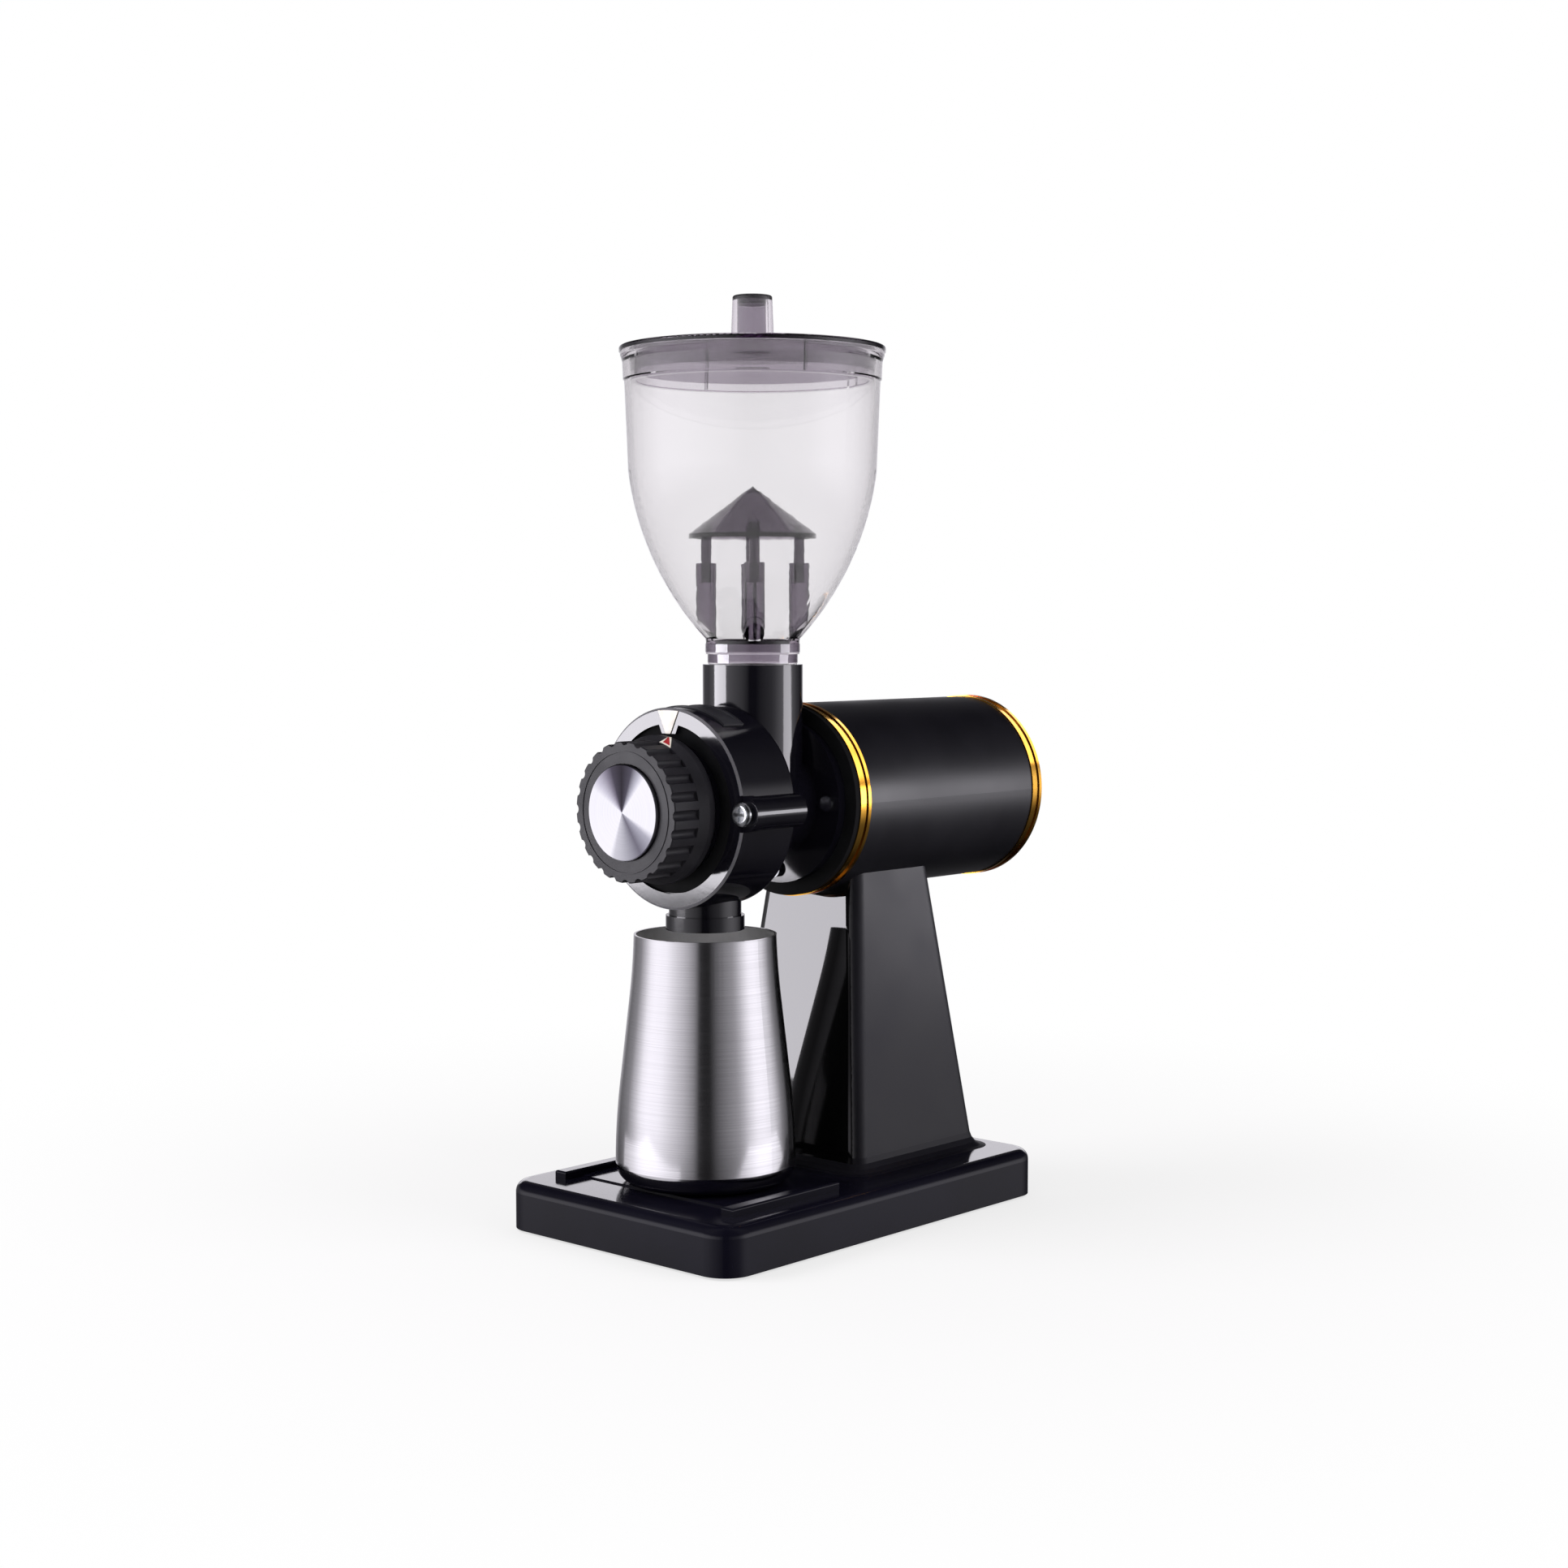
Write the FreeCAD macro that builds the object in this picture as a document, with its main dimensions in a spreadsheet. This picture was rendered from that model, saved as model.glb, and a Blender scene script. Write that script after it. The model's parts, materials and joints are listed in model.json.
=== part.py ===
import FreeCAD, Part
import math
import os

import Sketcher

# Driving sizes in millimetres and degrees. Places along Y are measured from the middle of the base,
# with the front of the grinder at negative Y. Heights are measured from the table.
driving = {
    # base casting
    "base_width": 124.6,
    "base_length": 194.4,
    "base_top": 20.0,
    "base_corner": 12.3,
    "base_edge": 4.5,
    "base_wall": 3.5,
    "foot_reveal": 0.8,
    "foot_radius": 8.0,
    "foot_height": 2.6,
    "foot_inset": 21.0,
    "plate_thickness": 2.0,
    "plate_gap": 0.3,
    "base_boss_radius": 4.5,
    "base_boss_inset": 10.0,
    "base_hole_depth": 8.0,
    "wire_hole_radius": 8.0,
    # cup stand on the base
    "rail_gap": 86.8,
    "rail_width": 6.0,
    "rail_height": 3.0,
    "rail_front": -80.5,
    "rail_length": 61.5,
    "rail_round": 0.8,
    "stand_front": -72.0,
    "stand_height": 0.6,
    # column
    "column_foot_half": 38.8,
    "column_foot_front": 5.3,
    "column_foot_rear": 83.8,
    "column_head_half": 24.3,
    "column_head_front": 19.7,
    "column_head_rear": 66.5,
    "column_head": 150.0,
    "column_corner": 5.5,
    "column_wall": 3.5,
    "column_flare": 6.0,
    "column_ceiling": 116.0,
    "column_boss_radius": 5.5,
    "column_boss_height": 22.0,
    "column_boss_sink": 1.5,
    # small screws
    "screw_radius": 1.6,
    "screw_head_radius": 3.2,
    "screw_head_height": 2.0,
    "screw_head_gap": 0.3,
    "saddle_screw_radius": 2.5,
    "saddle_screw_spacing": 28.0,
    # lead inlet
    "gland_x": -30.0,
    "gland_height": 10.0,
    "gland_bore": 3.0,
    "gland_radius": 4.6,
    "gland_flange": 5.5,
    "gland_flange_depth": 2.5,
    "gland_tail": 3.0,
    # power switch
    "switch_height": 95.0,
    "switch_width": 13.0,
    "switch_length": 19.0,
    "switch_depth": 12.0,
    "switch_lip": 1.0,
    "switch_lip_depth": 1.5,
    "switch_wall": 1.3,
    "switch_floor": 3.0,
    "switch_tilt": 8.0,
    "rocker_gap": 0.35,
    "rocker_end_gap": 0.85,
    "rocker_pivot_depth": 1.0,
    "rocker_pin_radius": 1.2,
    "rocker_pin_grip": 0.7,
    "rocker_under": 2.0,
    "rocker_crown": 2.6,
    "rocker_tip": 4.0,
    # power board
    "board_width": 56.0,
    "board_length": 40.0,
    "board_thickness": 1.6,
    "board_standoff": 3.0,
    "board_post_radius": 2.5,
    "board_post_inset": 4.0,
    "board_front": 24.0,
    "choke_size": 12.0,
    "choke_height": 5.5,
    "capacitor_length": 26.0,
    "capacitor_width": 9.0,
    "capacitor_height": 4.5,
    # grinder casting
    "axis_height": 171.4,
    "drum_radius": 39.75,
    "drum_rear": -33.0,
    "drum_round": 2.5,
    "chamber_radius": 34.0,
    "chamber_rear": -36.5,
    "tunnel_radius": 22.0,
    "tunnel_bore": 15.0,
    "body_flange_radius": 34.0,
    "body_flange_depth": 4.0,
    "body_screw_circle": 28.5,
    "throat_radius": 20.3,
    "throat_bore": 17.0,
    "throat_top": 227.4,
    "hopper_y": -16.0,
    "cup_y": -44.0,
    "seat_gap": 0.1,
    "spout_radius": 14.5,
    "spout_bore": 9.5,
    "spout_bottom": 122.9,
    "spout_ring_radius": 15.8,
    "spout_ring_height": 5.7,
    "spout_ring_drop": 0.6,
    "ear_x": 40.0,
    "ear_radius": 7.0,
    "boss_radius": 6.6,
    "boss_gap": 2.0,
    # cover
    "cover_front": -64.4,
    "cover_thickness": 5.0,
    "cover_chamfer": 0.8,
    "cover_ring_radius": 33.4,
    "cover_recess": 2.0,
    "cover_hub_radius": 26.5,
    "cover_hub_front": -66.0,
    "tongue_tip_radius": 29.6,
    "tongue_root_width": 11.6,
    "tongue_tip_width": 7.4,
    "pointer_thickness": 0.4,
    "pointer_root_radius": 38.6,
    "pointer_root_width": 11.0,
    "pointer_tip_width": 2.6,
    "cover_screw_radius": 1.7,
    "cover_screw_head_radius": 4.9,
    "cover_screw_head_height": 3.2,
    "cover_screw_tip": 3.0,
    "cross_width": 1.2,
    "cross_length": 5.4,
    "cross_depth": 1.6,
    # grind setting
    "knob_front": -88.4,
    "knob_rear": -67.4,
    "knob_radius": 27.45,
    "knob_edge": 0.4,
    "knob_skirt_radius": 29.3,
    "knob_skirt_front": -75.5,
    "knob_skirt_round": 2.0,
    "knob_cavity_radius": 23.0,
    "knob_cavity_depth": 11.0,
    "knob_hub_radius": 9.5,
    "flute_count": 24,
    "flute_radius": 2.1,
    "flute_centre": 28.1,
    "dial_line_radius": 23.3,
    "dial_line_width": 0.5,
    "dial_line_height": 0.3,
    "insert_radius": 18.7,
    "insert_gap": 0.3,
    "insert_thickness": 2.8,
    "insert_proud": 1.6,
    "spindle_radius": 6.0,
    "spindle_journal_radius": 4.0,
    "clip_radius": 6.5,
    "clip_thickness": 1.0,
    "clip_gap": 0.2,
    # burrs
    "burr_radius": 30.0,
    "burr_bore": 15.0,
    "burr_thickness": 5.0,
    "burr_gap": 1.0,
    "burr_groove_width": 2.0,
    "burr_groove_depth": 1.5,
    "burr_groove_count": 16,
    "burr_screw_circle": 22.5,
    "burr_screw_sink": 0.6,
    "carrier_radius": 29.0,
    "carrier_thickness": 4.0,
    "carrier_gap": 1.1,
    "pin_radius": 2.0,
    "pin_circle": 22.5,
    "pin_length": 6.5,
    "pin_seat": 2.5,
    "rotor_carrier_thickness": 4.5,
    "rotor_hub_radius": 9.0,
    "rotor_hub_depth": 6.5,
    "spoke_half_angle": 14.0,
    "vane_width": 3.0,
    "vane_radius": 32.8,
    # rotor
    "shaft_radius": 6.0,
    "shaft_rear_radius": 5.0,
    "shaft_end_gap": 0.6,
    "running_gap": 0.05,
    "nut_across": 16.0,
    "nut_thickness": 4.0,
    "shaft_nose": 1.0,
    "auger_radius": 14.2,
    "auger_core": 8.5,
    "auger_pitch": 14.0,
    "auger_turns": 2.0,
    "auger_flight": 2.6,
    "auger_gap": 0.4,
    "seal_depth": 3.0,
    "seal_radius": 14.6,
    # motor
    "flange_front": 2.4,
    "flange_rear": 5.0,
    "ring_depth": 6.4,
    "ring_bead": 1.7,
    "ring_radius": 40.1,
    "ring_valley_radius": 39.5,
    "tube_radius": 39.6,
    "tube_bore": 37.0,
    "tube_rear": 120.7,
    "spigot_depth": 11.0,
    "front_bearing_radius": 13.0,
    "front_bearing_depth": 8.0,
    "rear_bearing_radius": 11.0,
    "rear_bearing_depth": 8.0,
    "rear_cap_inside": 9.0,
    "rear_cap_dome": 4.0,
    "rear_cap_dome_radius": 33.0,
    "rear_cap_floor": 3.0,
    "vent_count": 12,
    "vent_width": 3.0,
    "vent_inner": 16.0,
    "vent_outer": 27.0,
    "rear_screw_circle": 23.0,
    "rear_screw_sink": 2.2,
    "rear_boss_radius": 4.2,
    "magnet_bore": 30.5,
    "magnet_front": 30.0,
    "magnet_length": 58.0,
    "magnet_angle": 130.0,
    "core_radius": 29.0,
    "core_front": 34.0,
    "core_length": 50.0,
    "slot_count": 12,
    "slot_width": 3.0,
    "slot_depth": 9.0,
    "coil_gap": 0.2,
    "coil_radius": 24.0,
    "coil_overhang": 8.0,
    "coil_clear": 4.0,
    "coil_round": 5.0,
    "commutator_radius": 12.0,
    "commutator_length": 12.0,
    "commutator_gap": 2.0,
    "brush_gap": 0.1,
    "brush_width": 5.0,
    "brush_depth": 7.0,
    "brush_length": 12.0,
    "holder_wall": 1.4,
    "holder_gap": 2.0,
    "holder_length": 17.0,
    "brush_plate_depth": 3.0,
    "fan_hub_radius": 10.0,
    "fan_radius": 27.0,
    "fan_depth": 6.0,
    "fan_disc": 1.2,
    "fan_blade": 1.5,
    "fan_blades": 9,
    "fan_clear": 1.5,
    # hopper
    "neck_band_radius": 19.0,
    "neck_band_bottom": 231.6,
    "neck_groove_radius": 18.1,
    "neck_top": 237.0,
    "bowl_foot_radius": 19.2,
    "bowl_foot": 237.8,
    "bowl_radius": 50.05,
    "bowl_top": 305.0,
    "bowl_curve": 120.7,
    "hopper_band_radius": 51.5,
    "hopper_band": 341.0,
    "hopper_band_step": 0.5,
    "hopper_lip_radius": 52.3,
    "hopper_lip": 348.5,
    "hopper_rim_radius": 53.1,
    "hopper_rim": 1.4,
    "hopper_top": 352.4,
    "hopper_wall": 2.2,
    "plug_length": 14.0,
    "plug_gap": 0.4,
    "plug_wall": 2.0,
    # bean guard
    "guard_apex": 299.4,
    "guard_eave": 280.2,
    "guard_radius": 25.7,
    "guard_wall": 1.8,
    "post_circle": 18.8,
    "pin_post_radius": 2.1,
    "pin_post_gap": 0.1,
    "pin_post_depth": 8.0,
    "socket_radius": 3.8,
    "socket_top": 268.5,
    # lid
    "lid_radius": 53.6,
    "lid_thickness": 2.0,
    "lid_edge": 0.8,
    "lid_skirt_gap": 0.6,
    "lid_skirt_wall": 1.8,
    "lid_skirt_depth": 12.0,
    "lid_knob_top": 375.0,
    "lid_knob_radius": 8.0,
    "lid_knob_foot_radius": 8.8,
    "lid_knob_wall": 1.8,
    # cup
    "cup_radius": 36.2,
    "cup_round": 8.0,
    "cup_side_radius": 33.9,
    "cup_side": 64.0,
    "cup_side_curve": 300.0,
    "cup_neck_radius": 30.3,
    "cup_neck": 96.0,
    "cup_neck_curve": 290.0,
    "cup_rim_radius": 28.6,
    "cup_rim": 120.3,
    "cup_wall": 0.9,
}

doc = FreeCAD.newDocument("coffee_grinder")
sheet = doc.addObject("Spreadsheet::Sheet", "Sizes")
for row, (name, value) in enumerate(driving.items(), 1):
    sheet.set(f"A{row}", name)
    sheet.set(f"B{row}", str(value))
    sheet.setAlias(f"B{row}", name)
doc.recompute()


# A size knows its number and the sheet formula that it comes from, so that sums of sizes stay formulas.
class Size:
    def __init__(self, number, formula):
        self.number = number
        self.formula = formula

    def joined(self, other, sign, number):
        return Size(number, f"({self.formula} {sign} {as_size(other).formula})")

    def __add__(self, other):
        return self.joined(other, "+", self.number + as_size(other).number)

    def __sub__(self, other):
        return self.joined(other, "-", self.number - as_size(other).number)

    def __mul__(self, other):
        return self.joined(other, "*", self.number * as_size(other).number)

    def __truediv__(self, other):
        return self.joined(other, "/", self.number / as_size(other).number)

    def __neg__(self):
        return Size(-self.number, f"(0 - {self.formula})")


def as_size(value):
    return value if isinstance(value, Size) else Size(value, repr(float(value)))


class Sizes:
    pass


s = Sizes()
for name, value in driving.items():
    setattr(s, name, Size(value, f"Sizes.{name}"))

upright = FreeCAD.Rotation()
along_y = FreeCAD.Rotation(FreeCAD.Vector(1, 0, 0), -90)

# The frame's origin is under the middle of the whole grinder, between the base's front and the motor's rear.
rear_end = s.tube_rear + s.ring_depth + s.rear_cap_dome
origin_y = (rear_end - s.base_length / 2) / 2

pieces = []


def bind(item, path, value):
    item.setExpression(path, as_size(value).formula)


def place(item, x, y, z, rotation=upright):
    item.Placement = FreeCAD.Placement(FreeCAD.Vector(0, 0, 0), rotation)
    bind(item, "Placement.Base.x", x)
    bind(item, "Placement.Base.y", as_size(y) - origin_y)
    bind(item, "Placement.Base.z", z)


def piece(item, label):
    item.Label = label
    pieces.append(item)
    return item


def new_body(name):
    return doc.addObject("PartDesign::Body", name)


def new_sketch(body, name, plane, offset=0.0):
    sketch = body.newObject("Sketcher::SketchObject", name)
    support = next(part for part in body.Origin.OriginFeatures if part.Role == plane)
    sketch.AttachmentSupport = [(support, "")]
    sketch.MapMode = "FlatFace"
    bind(sketch, "AttachmentOffset.Base.z", offset)
    return sketch


def fix_point(sketch, curve, end, point):
    for kind, axis, value in (("DistanceX", -2, point[0]), ("DistanceY", -1, point[1])):
        if not isinstance(value, Size) and value == 0:
            sketch.addConstraint(Sketcher.Constraint("PointOnObject", curve, end, axis))
        else:
            size = as_size(value)
            index = sketch.addConstraint(Sketcher.Constraint(kind, -1, 1, curve, end, size.number))
            sketch.setExpression(f"Constraints[{index}]", size.formula)


def arc_between(start, end, radius):
    # The shorter arc from start to end: counter-clockwise where the radius is positive.
    chord = end.sub(start)
    reach = math.sqrt(max(radius * radius - chord.Length ** 2 / 4, 0.0))
    side = FreeCAD.Vector(-chord.y, chord.x, 0) * (math.copysign(reach, radius) / chord.Length)
    centre = (start + end) * 0.5 + side
    first, last = (start, end) if radius > 0 else (end, start)
    angles = [math.atan2(point.y - centre.y, point.x - centre.x) for point in (first, last)]
    if angles[1] < angles[0]:
        angles[1] += 2 * math.pi
    circle = Part.Circle(centre, FreeCAD.Vector(0, 0, 1), abs(radius))
    return Part.ArcOfCircle(circle, angles[0], angles[1])


# Draws a closed outline. A point's third value is the radius of the arc to the next point, negative
# where that arc turns clockwise; without it a straight line follows.
def outline(sketch, points):
    ends = []
    corners = [FreeCAD.Vector(as_size(point[0]).number, as_size(point[1]).number, 0) for point in points]
    for index, point in enumerate(points):
        start = corners[index]
        end = corners[(index + 1) % len(points)]
        if len(point) == 3:
            radius = as_size(point[2])
            curve = sketch.addGeometry(arc_between(start, end, radius.number))
            ends.append((curve, 1, 2) if radius.number > 0 else (curve, 2, 1))
            size = radius if radius.number > 0 else -radius
            rule = sketch.addConstraint(Sketcher.Constraint("Radius", curve, size.number))
            sketch.setExpression(f"Constraints[{rule}]", size.formula)
        else:
            curve = sketch.addGeometry(Part.LineSegment(start, end))
            ends.append((curve, 1, 2))
    for index, (curve, start, end) in enumerate(ends):
        following = ends[(index + 1) % len(ends)]
        sketch.addConstraint(Sketcher.Constraint("Coincident", curve, end, following[0], following[1]))
        fix_point(sketch, curve, start, points[index])


def circle(sketch, x, y, radius):
    centre = FreeCAD.Vector(as_size(x).number, as_size(y).number, 0)
    curve = sketch.addGeometry(Part.Circle(centre, FreeCAD.Vector(0, 0, 1), as_size(radius).number))
    fix_point(sketch, curve, 3, (x, y))
    rule = sketch.addConstraint(Sketcher.Constraint("Radius", curve, as_size(radius).number))
    sketch.setExpression(f"Constraints[{rule}]", as_size(radius).formula)


def rectangle(x0, x1, y0, y1):
    return [(x0, y0), (x1, y0), (x1, y1), (x0, y1)]


def rounded_rectangle(x0, x1, y0, y1, r):
    return [
        (x0 + r, y0), (x1 - r, y0, r), (x1, y0 + r), (x1, y1 - r, r),
        (x1 - r, y1), (x0 + r, y1, r), (x0, y1 - r), (x0, y0 + r, r),
    ]


def turn(body, sketch, name):
    feature = body.newObject("PartDesign::Revolution", name)
    feature.Profile = sketch
    feature.ReferenceAxis = (sketch, ["V_Axis"])
    feature.Angle = 360
    return feature


# Turns a profile of (radius, place along the axis) points about the body's own Z axis.
def turned_body(name, points):
    body = new_body(name)
    sketch = new_sketch(body, name + "_profile", "XZ_Plane")
    outline(sketch, points)
    turn(body, sketch, name + "_turn")
    return body


def pad(body, sketch, length, name):
    feature = body.newObject("PartDesign::Pad", name)
    feature.Profile = sketch
    bind(feature, "Length", length)
    return feature


# Cuts from the sketch towards the body's own +Z.
def pocket(body, sketch, depth, name):
    feature = body.newObject("PartDesign::Pocket", name)
    feature.Profile = sketch
    feature.Reversed = True
    bind(feature, "Length", depth)
    return feature


def repeat(body, feature, sketch, count, name, axis="N_Axis"):
    pattern = body.newObject("PartDesign::PolarPattern", name)
    pattern.Originals = [feature]
    pattern.Axis = (sketch, [axis])
    pattern.Angle = 360
    bind(pattern, "Occurrences", count)
    body.Tip = pattern
    return pattern


# Rounds the edges of a body's last feature that lie wholly at one height of the body's own Z.
def round_edges_at(body, height, radius, name):
    doc.recompute()
    level = as_size(height).number
    shape = body.Tip.Shape
    edges = []
    for index, edge in enumerate(shape.Edges, 1):
        box = edge.BoundBox
        if abs(box.ZMin - level) < 1e-5 and abs(box.ZMax - level) < 1e-5:
            edges.append(f"Edge{index}")
    last = body.Tip
    fillet = body.newObject("PartDesign::Fillet", name)
    fillet.Base = (last, edges)
    bind(fillet, "Radius", radius)
    return fillet


def cylinder(name, radius, length, x, y, z, rotation=upright):
    item = doc.addObject("Part::Cylinder", name)
    bind(item, "Radius", radius)
    bind(item, "Height", length)
    place(item, x, y, z, rotation)
    return item


def box(name, width, depth, height, x, y, z):
    item = doc.addObject("Part::Box", name)
    bind(item, "Length", width)
    bind(item, "Width", depth)
    bind(item, "Height", height)
    place(item, x, y, z)
    return item


def fused(name, items):
    item = doc.addObject("Part::MultiFuse", name)
    item.Shapes = items
    item.Refine = True
    return item


def cut(name, base, tools):
    item = doc.addObject("Part::Cut", name)
    item.Base = base
    item.Tool = tools[0] if len(tools) == 1 else fused(name + "_tools", tools)
    item.Refine = True
    return item


def group(name, items):
    item = doc.addObject("Part::Compound", name)
    item.Links = items
    return item


# A cheese-head screw along Z, with its head below and its shank above z.
def upward_screw(name, x, y, z, length):
    head = cylinder(name + "_head", s.screw_head_radius, s.screw_head_height, x, y, z - s.screw_head_height)
    shank = cylinder(name + "_shank", s.screw_radius, length, x, y, z)
    return fused(name, [head, shank])


half_width = s.base_width / 2
half_length = s.base_length / 2
plate_top = s.foot_height + s.plate_thickness
base_ceiling = s.base_top - s.base_wall
base_corners = [(sx, sy) for sx in (-1, 1) for sy in (-1, 1)]
base_boss_places = []
for sx, sy in base_corners:
    base_boss_places.append(((half_width - s.base_boss_inset) * sx, (half_length - s.base_boss_inset) * sy))
column_middle = (s.column_foot_front + s.column_foot_rear) / 2

# The column's bosses stand upright, so they keep clear of the walls as these lean in towards the boss tops.
column_boss_inset = s.column_wall + s.column_boss_radius - s.column_boss_sink
boss_share = s.column_boss_height / (s.column_head - s.base_top)
boss_x = s.column_foot_half - (s.column_foot_half - s.column_head_half) * boss_share - column_boss_inset
boss_lean = (s.column_head_front - s.column_foot_front) * boss_share
boss_front = s.column_foot_front + boss_lean + column_boss_inset
boss_rear = s.column_foot_rear - (s.column_foot_rear - s.column_head_rear) * boss_share - column_boss_inset
column_boss_places = [(boss_x * sx, y) for sx in (-1, 1) for y in (boss_front, boss_rear)]


def make_base():
    body = new_body("base_casting")
    place(body, 0, 0, 0)
    foot = new_sketch(body, "base_plan", "XY_Plane", s.foot_reveal)
    outline(foot, rounded_rectangle(-half_width, half_width, -half_length, half_length, s.base_corner))
    pad(body, foot, s.base_top - s.foot_reveal, "base_block")
    round_edges_at(body, s.base_top, s.base_edge, "base_top_round")
    inside_x = half_width - s.base_wall
    inside_y = half_length - s.base_wall
    hollow = new_sketch(body, "base_hollow", "XY_Plane", s.foot_reveal)
    outline(hollow, rounded_rectangle(-inside_x, inside_x, -inside_y, inside_y, s.base_corner - s.base_wall))
    pocket(body, hollow, base_ceiling - s.foot_reveal, "base_inside")
    bosses = new_sketch(body, "base_boss_plan", "XY_Plane", plate_top)
    for x, y in base_boss_places:
        circle(bosses, x, y, s.base_boss_radius)
    pad(body, bosses, base_ceiling - plate_top, "base_bosses")
    holes = new_sketch(body, "base_hole_plan", "XY_Plane", plate_top)
    for x, y in base_boss_places:
        circle(holes, x, y, s.screw_radius)
    pocket(body, holes, s.base_hole_depth, "base_screw_holes")
    rails = new_sketch(body, "rail_plan", "XY_Plane", s.base_top)
    inner = s.rail_gap / 2
    outer = inner + s.rail_width
    rail_rear = s.rail_front + s.rail_length
    outline(rails, rectangle(-outer, -inner, s.rail_front, rail_rear))
    outline(rails, rectangle(inner, outer, s.rail_front, rail_rear))
    pad(body, rails, s.rail_height, "rails")
    round_edges_at(body, s.base_top + s.rail_height, s.rail_round, "rail_round")
    stand = new_sketch(body, "stand_plan", "XY_Plane", s.base_top)
    outline(stand, rectangle(-inner, inner, s.stand_front, rail_rear))
    pad(body, stand, s.stand_height, "stand")
    openings = new_sketch(body, "base_opening_plan", "XY_Plane", base_ceiling)
    circle(openings, 0, column_middle, s.wire_hole_radius)
    for x, y in column_boss_places:
        circle(openings, x, y, s.screw_radius)
    pocket(body, openings, s.base_wall, "base_openings")
    hole = cylinder("gland_hole", s.gland_radius, s.base_wall * 3, s.gland_x,
                    half_length - s.base_wall * 2, s.gland_height, along_y)
    piece(cut("base_drilled", body, [hole]), "base")


def make_base_plate():
    body = new_body("base_floor")
    place(body, 0, 0, 0)
    reach = s.base_wall + s.plate_gap
    x = half_width - reach
    y = half_length - reach
    plan = new_sketch(body, "floor_plan", "XY_Plane", s.foot_height)
    outline(plan, rounded_rectangle(-x, x, -y, y, s.base_corner - reach))
    pad(body, plan, s.plate_thickness, "floor_sheet")
    holes = new_sketch(body, "floor_hole_plan", "XY_Plane", s.foot_height)
    for hole_x, hole_y in base_boss_places:
        circle(holes, hole_x, hole_y, s.screw_radius)
    pocket(body, holes, s.plate_thickness, "floor_holes")
    posts = new_sketch(body, "board_post_plan", "XY_Plane", plate_top)
    post_x = s.board_width / 2 - s.board_post_inset
    for sx in (-1, 1):
        for post_y in (s.board_front + s.board_post_inset,
                       s.board_front + s.board_length - s.board_post_inset):
            circle(posts, post_x * sx, post_y, s.board_post_radius)
    pad(body, posts, s.board_standoff, "board_posts")
    piece(body, "base_plate")

    feet = []
    for index, (sx, sy) in enumerate(base_corners):
        foot_x = (half_width - s.foot_inset) * sx
        foot_y = (half_length - s.foot_inset) * sy
        feet.append(cylinder(f"foot_{index}", s.foot_radius, s.foot_height, foot_x, foot_y, 0))
    piece(group("foot_set", feet), "feet")

    screws = []
    for index, (x, y) in enumerate(base_boss_places):
        screws.append(upward_screw(f"floor_screw_{index}", x, y, s.foot_height,
                                   s.plate_thickness + s.base_hole_depth))
    piece(group("floor_screws", screws), "base_screws")


def make_power_board():
    board_z = plate_top + s.board_standoff
    top = board_z + s.board_thickness
    middle_y = s.board_front + s.board_length / 2
    board = box("board_sheet", s.board_width, s.board_length, s.board_thickness,
                -s.board_width / 2, s.board_front, board_z)
    choke = box("board_choke", s.choke_size, s.choke_size, s.choke_height,
                -s.board_width / 4 - s.choke_size / 2, middle_y - s.choke_size / 2, top)
    capacitor = box("board_capacitor", s.capacitor_width, s.capacitor_length, s.capacitor_height,
                    s.board_width / 4 - s.capacitor_width / 2, middle_y - s.capacitor_length / 2, top)
    piece(group("board_set", [board, choke, capacitor]), "power_board")


def make_gland():
    wall_y = half_length - s.base_wall
    length = s.base_wall + s.gland_tail
    sleeve = cylinder("gland_sleeve", s.gland_radius, length, s.gland_x, wall_y - s.gland_tail,
                      s.gland_height, along_y)
    flange = cylinder("gland_collar", s.gland_flange, s.gland_flange_depth, s.gland_x, half_length,
                      s.gland_height, along_y)
    bore = cylinder("gland_way", s.gland_bore, length + s.gland_flange_depth, s.gland_x,
                    wall_y - s.gland_tail, s.gland_height, along_y)
    piece(cut("gland_bush", fused("gland_solid", [sleeve, flange]), [bore]), "cord_gland")


# The column's outline at a height, spread outwards all round or, with a negative spread, inwards.
def column_outline(height, spread):
    share = (as_size(height) - s.base_top) / (s.column_head - s.base_top)
    half = s.column_foot_half + (s.column_head_half - s.column_foot_half) * share + spread
    front = s.column_foot_front + (s.column_head_front - s.column_foot_front) * share - spread
    rear = s.column_foot_rear + (s.column_head_rear - s.column_foot_rear) * share + spread
    return rounded_rectangle(-half, half, front, rear, s.column_corner + spread)


switch_share = (s.switch_height - s.base_top) / (s.column_head - s.base_top)
switch_x = s.column_foot_half + (s.column_head_half - s.column_foot_half) * switch_share
switch_y = column_middle
switch_lean = math.atan2((s.column_foot_half - s.column_head_half).number,
                         (s.column_head - s.base_top).number)
# The switch looks out of the column's left side, square to the leaning wall.
switch_rotation = FreeCAD.Rotation(
    FreeCAD.Vector(0, -1, 0),
    FreeCAD.Vector(math.sin(switch_lean), 0, math.cos(switch_lean)),
    FreeCAD.Vector(-math.cos(switch_lean), 0, math.sin(switch_lean)),
    "ZXY",
)


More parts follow.
